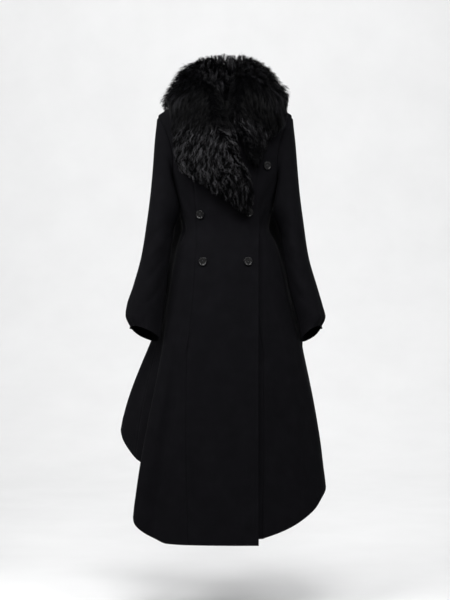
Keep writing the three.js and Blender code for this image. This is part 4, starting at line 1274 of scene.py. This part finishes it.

# %% [markdown]
# ## Fur, buttons and thread
# A hair's colour follows the tone of its lock, and it gets a little lighter from root to tip. Curly
# wool is glossier than combed hair. Its lighter locks are partly a lighter tone and partly painted
# highlights. The pad below is dark, matt underwool.
# The buttons are polished and show fine scratches, and the thread is twisted cotton.
# %% Other materials
def fur_material(name, dark, light, low, high, shine):
    made, tree, shader = material(name, Roughness=0.4, Specular_IOR_Level=shine, Sheen_Weight=0.0)
    tone = node(tree, "ShaderNodeAttribute", attribute_name="tone", attribute_type="GEOMETRY").outputs["Fac"]
    cut = node(tree, "ShaderNodeUVMap", uv_map="cut").outputs["UV"]
    split = node(tree, "ShaderNodeSeparateXYZ")
    tree.links.new(cut, split.inputs["Vector"])
    colour = ramp(tree, blended(tree, tone, split.outputs["Y"], 0.15), (0.2, dark), (0.85, light))
    tree.links.new(colour, shader.inputs["Base Color"])
    tree.links.new(scaled(tree, tone, low, high), shader.inputs["Roughness"])
    # The ribbon is shaded as a round hair: its height is a hump across its width.
    other = node(tree, "ShaderNodeMath", operation="SUBTRACT")
    other.inputs[0].default_value = 1.0
    tree.links.new(split.outputs["X"], other.inputs[1])
    hump = node(tree, "ShaderNodeMath", operation="MULTIPLY")
    tree.links.new(split.outputs["X"], hump.inputs[0])
    tree.links.new(other.outputs["Value"], hump.inputs[1])
    bumps(tree, shader, (hump.outputs["Value"], 0.0008, 0.4))
    return made


soft_fur = fur_material("soft_black_fur", (0.0006, 0.0006, 0.0008), (0.011, 0.0107, 0.0125), 0.36, 0.52, 0.05)
# The curly fur's light colour is partly painted highlight on the curls.
curly_fur = fur_material("curly_black_fur", (0.0003, 0.0003, 0.0005), (0.06, 0.059, 0.063), 0.22, 0.4, 0.03)
underwool = patterned(
    "black_underwool",
    layers={"tufts": ("place", 160, 5, 0.65), "fuzz": ("place", 900, 2, 0.6)},
    colours=("tufts", (0.3, (0.0006, 0.0006, 0.0008)), (0.7, (0.002, 0.002, 0.0024))),
    rough=("fuzz", 0.85, 1.0),
    bump=[("tufts", 0.004, 0.8), ("fuzz", 0.0006, 0.6)],
    Roughness=0.95, Specular_IOR_Level=0.03,
)
polish = patterned(
    "polished_black_button",
    layers={"clouds": ("place", 240, 4, 0.6), "scratches": ("place", 1500, 2, 0.5, (1, 0.12, 0.3))},
    colours=("clouds", (0.35, (0.002, 0.002, 0.0023)), (0.7, (0.007, 0.0066, 0.0066))),
    rough=("scratches", 0.05, 0.18),
    bump=[("scratches", 0.00005, 0.25)],
    Roughness=0.14, Specular_IOR_Level=0.25, Coat_Weight=0.25, Coat_Roughness=0.04,
)
thread = patterned(
    "black_thread",
    layers={"twist": ("place", 2600, 2, 0.5)},
    colours=("twist", (0.35, (0.006, 0.006, 0.007)), (0.7, (0.02, 0.02, 0.022))),
    bump=[("twist", 0.0002, 0.6)],
    Roughness=0.7, Specular_IOR_Level=0.3, Sheen_Weight=0.3,
)
for piece in furs:
    piece.data.materials.append(soft_fur)
    piece.data.materials.append(curly_fur)
for piece in pads.values():
    piece.data.materials.append(underwool)
for button, stitch in buttons.values():
    button.data.materials.clear()
    button.data.materials.append(polish)
    stitch.data.materials.clear()
    stitch.data.materials.append(thread)

# %% [markdown]
# ## What stands for what
# Every piece rides on the one body. The cloth panels, the two pads and the buttons hide the solids
# that they stand for.
for node_name, piece in panels.items():
    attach(piece, "root")
    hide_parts(node_name)
for side, name in ((-1, "right"), (1, "left")):
    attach(pads[side], "root")
    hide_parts(f"collar_{name}")
for piece in furs:
    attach(piece, "root")
for name, (button, stitch) in buttons.items():
    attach(button, "root")
    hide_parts(f"button_{name}")
    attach(stitch, "root")
print("declared", len(panels) + len(pads) + len(furs) + 2 * len(buttons), "pieces")

# %% [markdown]
# ## Floor, light and camera
# A pale floor runs up into a backdrop without an edge. Bright walls all round make most of the
# light, so the narrow places between a sleeve and the body stay dark. Soft boxes in front and above,
# stronger on the left, draw the hair's highlights and let the light fade towards the hem. One more
# lights the backdrop. The camera looks level at the coat from 4.5 m.
# %% Stage
FLOOR_Z = -1.52
bare()
bpy.ops.mesh.primitive_plane_add(size=1, location=(0, 0, FLOOR_Z))
stage = bpy.context.object
stage.name = "studio_floor"
stage.scale = (11, 12, 1)
bpy.ops.object.transform_apply(location=True, rotation=True, scale=True)
edit(stage, "EDGE", lambda edge: all(stage.data.vertices[k].co.y > 5.9 for k in edge.vertices))
bpy.ops.mesh.extrude_region_move(TRANSFORM_OT_translate={"value": (0, 0, 8)})
bpy.ops.object.mode_set(mode="OBJECT")
curve_up = stage.modifiers.new("curve", "BEVEL")
curve_up.width, curve_up.segments = 3.0, 16
bpy.ops.object.modifier_apply(modifier=curve_up.name)
bpy.ops.object.shade_smooth()
stage.data.materials.append(patterned(
    "pale_paper", layers={"clouds": ("place", 3, 3)},
    colours=("clouds", (0.3, (0.80, 0.80, 0.80)), (0.7, (0.83, 0.83, 0.83))),
    Roughness=0.95, Specular_IOR_Level=0.1,
))


def area_light(name, place, aim, size, watts, spread=180):
    lamp = bpy.data.lights.new(name, "AREA")
    lamp.shape, lamp.size, lamp.size_y, lamp.energy = "RECTANGLE", *size, watts
    lamp.spread = math.radians(spread)
    made = new_object(name, lamp)
    made.location = place
    made.rotation_euler = (Vector(aim) - Vector(place)).to_track_quat("-Z", "Y").to_euler()


area_light("key", (-1.5, -1.6, 1.5), (0, 0, -0.2), (1.2, 1.2), 14, spread=80)
area_light("left", (-3.0, -0.9, 1.0), (0, 0, -0.3), (1.2, 1.6), 12, spread=80)
area_light("front", (0, -2.2, 1.8), (0, 0, -0.3), (1.6, 1.2), 21, spread=80)
area_light("fill", (1.5, -1.6, 1.5), (0, 0, -0.3), (1.2, 1.2), 8, spread=80)
area_light("right", (2.4, -2.4, 0.9), (0, 0, -0.3), (1.3, 1.6), 3, spread=80)
area_light("backdrop", (0, 3.0, 2.6), (0, 6.0, -0.3), (7.0, 2.0), 147)
world = bpy.data.worlds.new("soft_studio")
bpy.context.scene.world = world
world.use_nodes = True
sky = world.node_tree.nodes["Background"]
sky.inputs["Color"].default_value = (0.93, 0.94, 0.96, 1)
sky.inputs["Strength"].default_value = 0.3
bpy.context.scene.view_settings.view_transform = "Standard"

camera_data = bpy.data.cameras.new("camera")
camera_data.lens, camera_data.sensor_width = 90, 36
camera = new_object("camera", camera_data)
camera.location = (0, -4.5, -0.6)
camera.rotation_euler = (math.radians(90), 0, 0)
bpy.context.scene.camera = camera
print("camera at", tuple(round(v, 2) for v in camera.location))
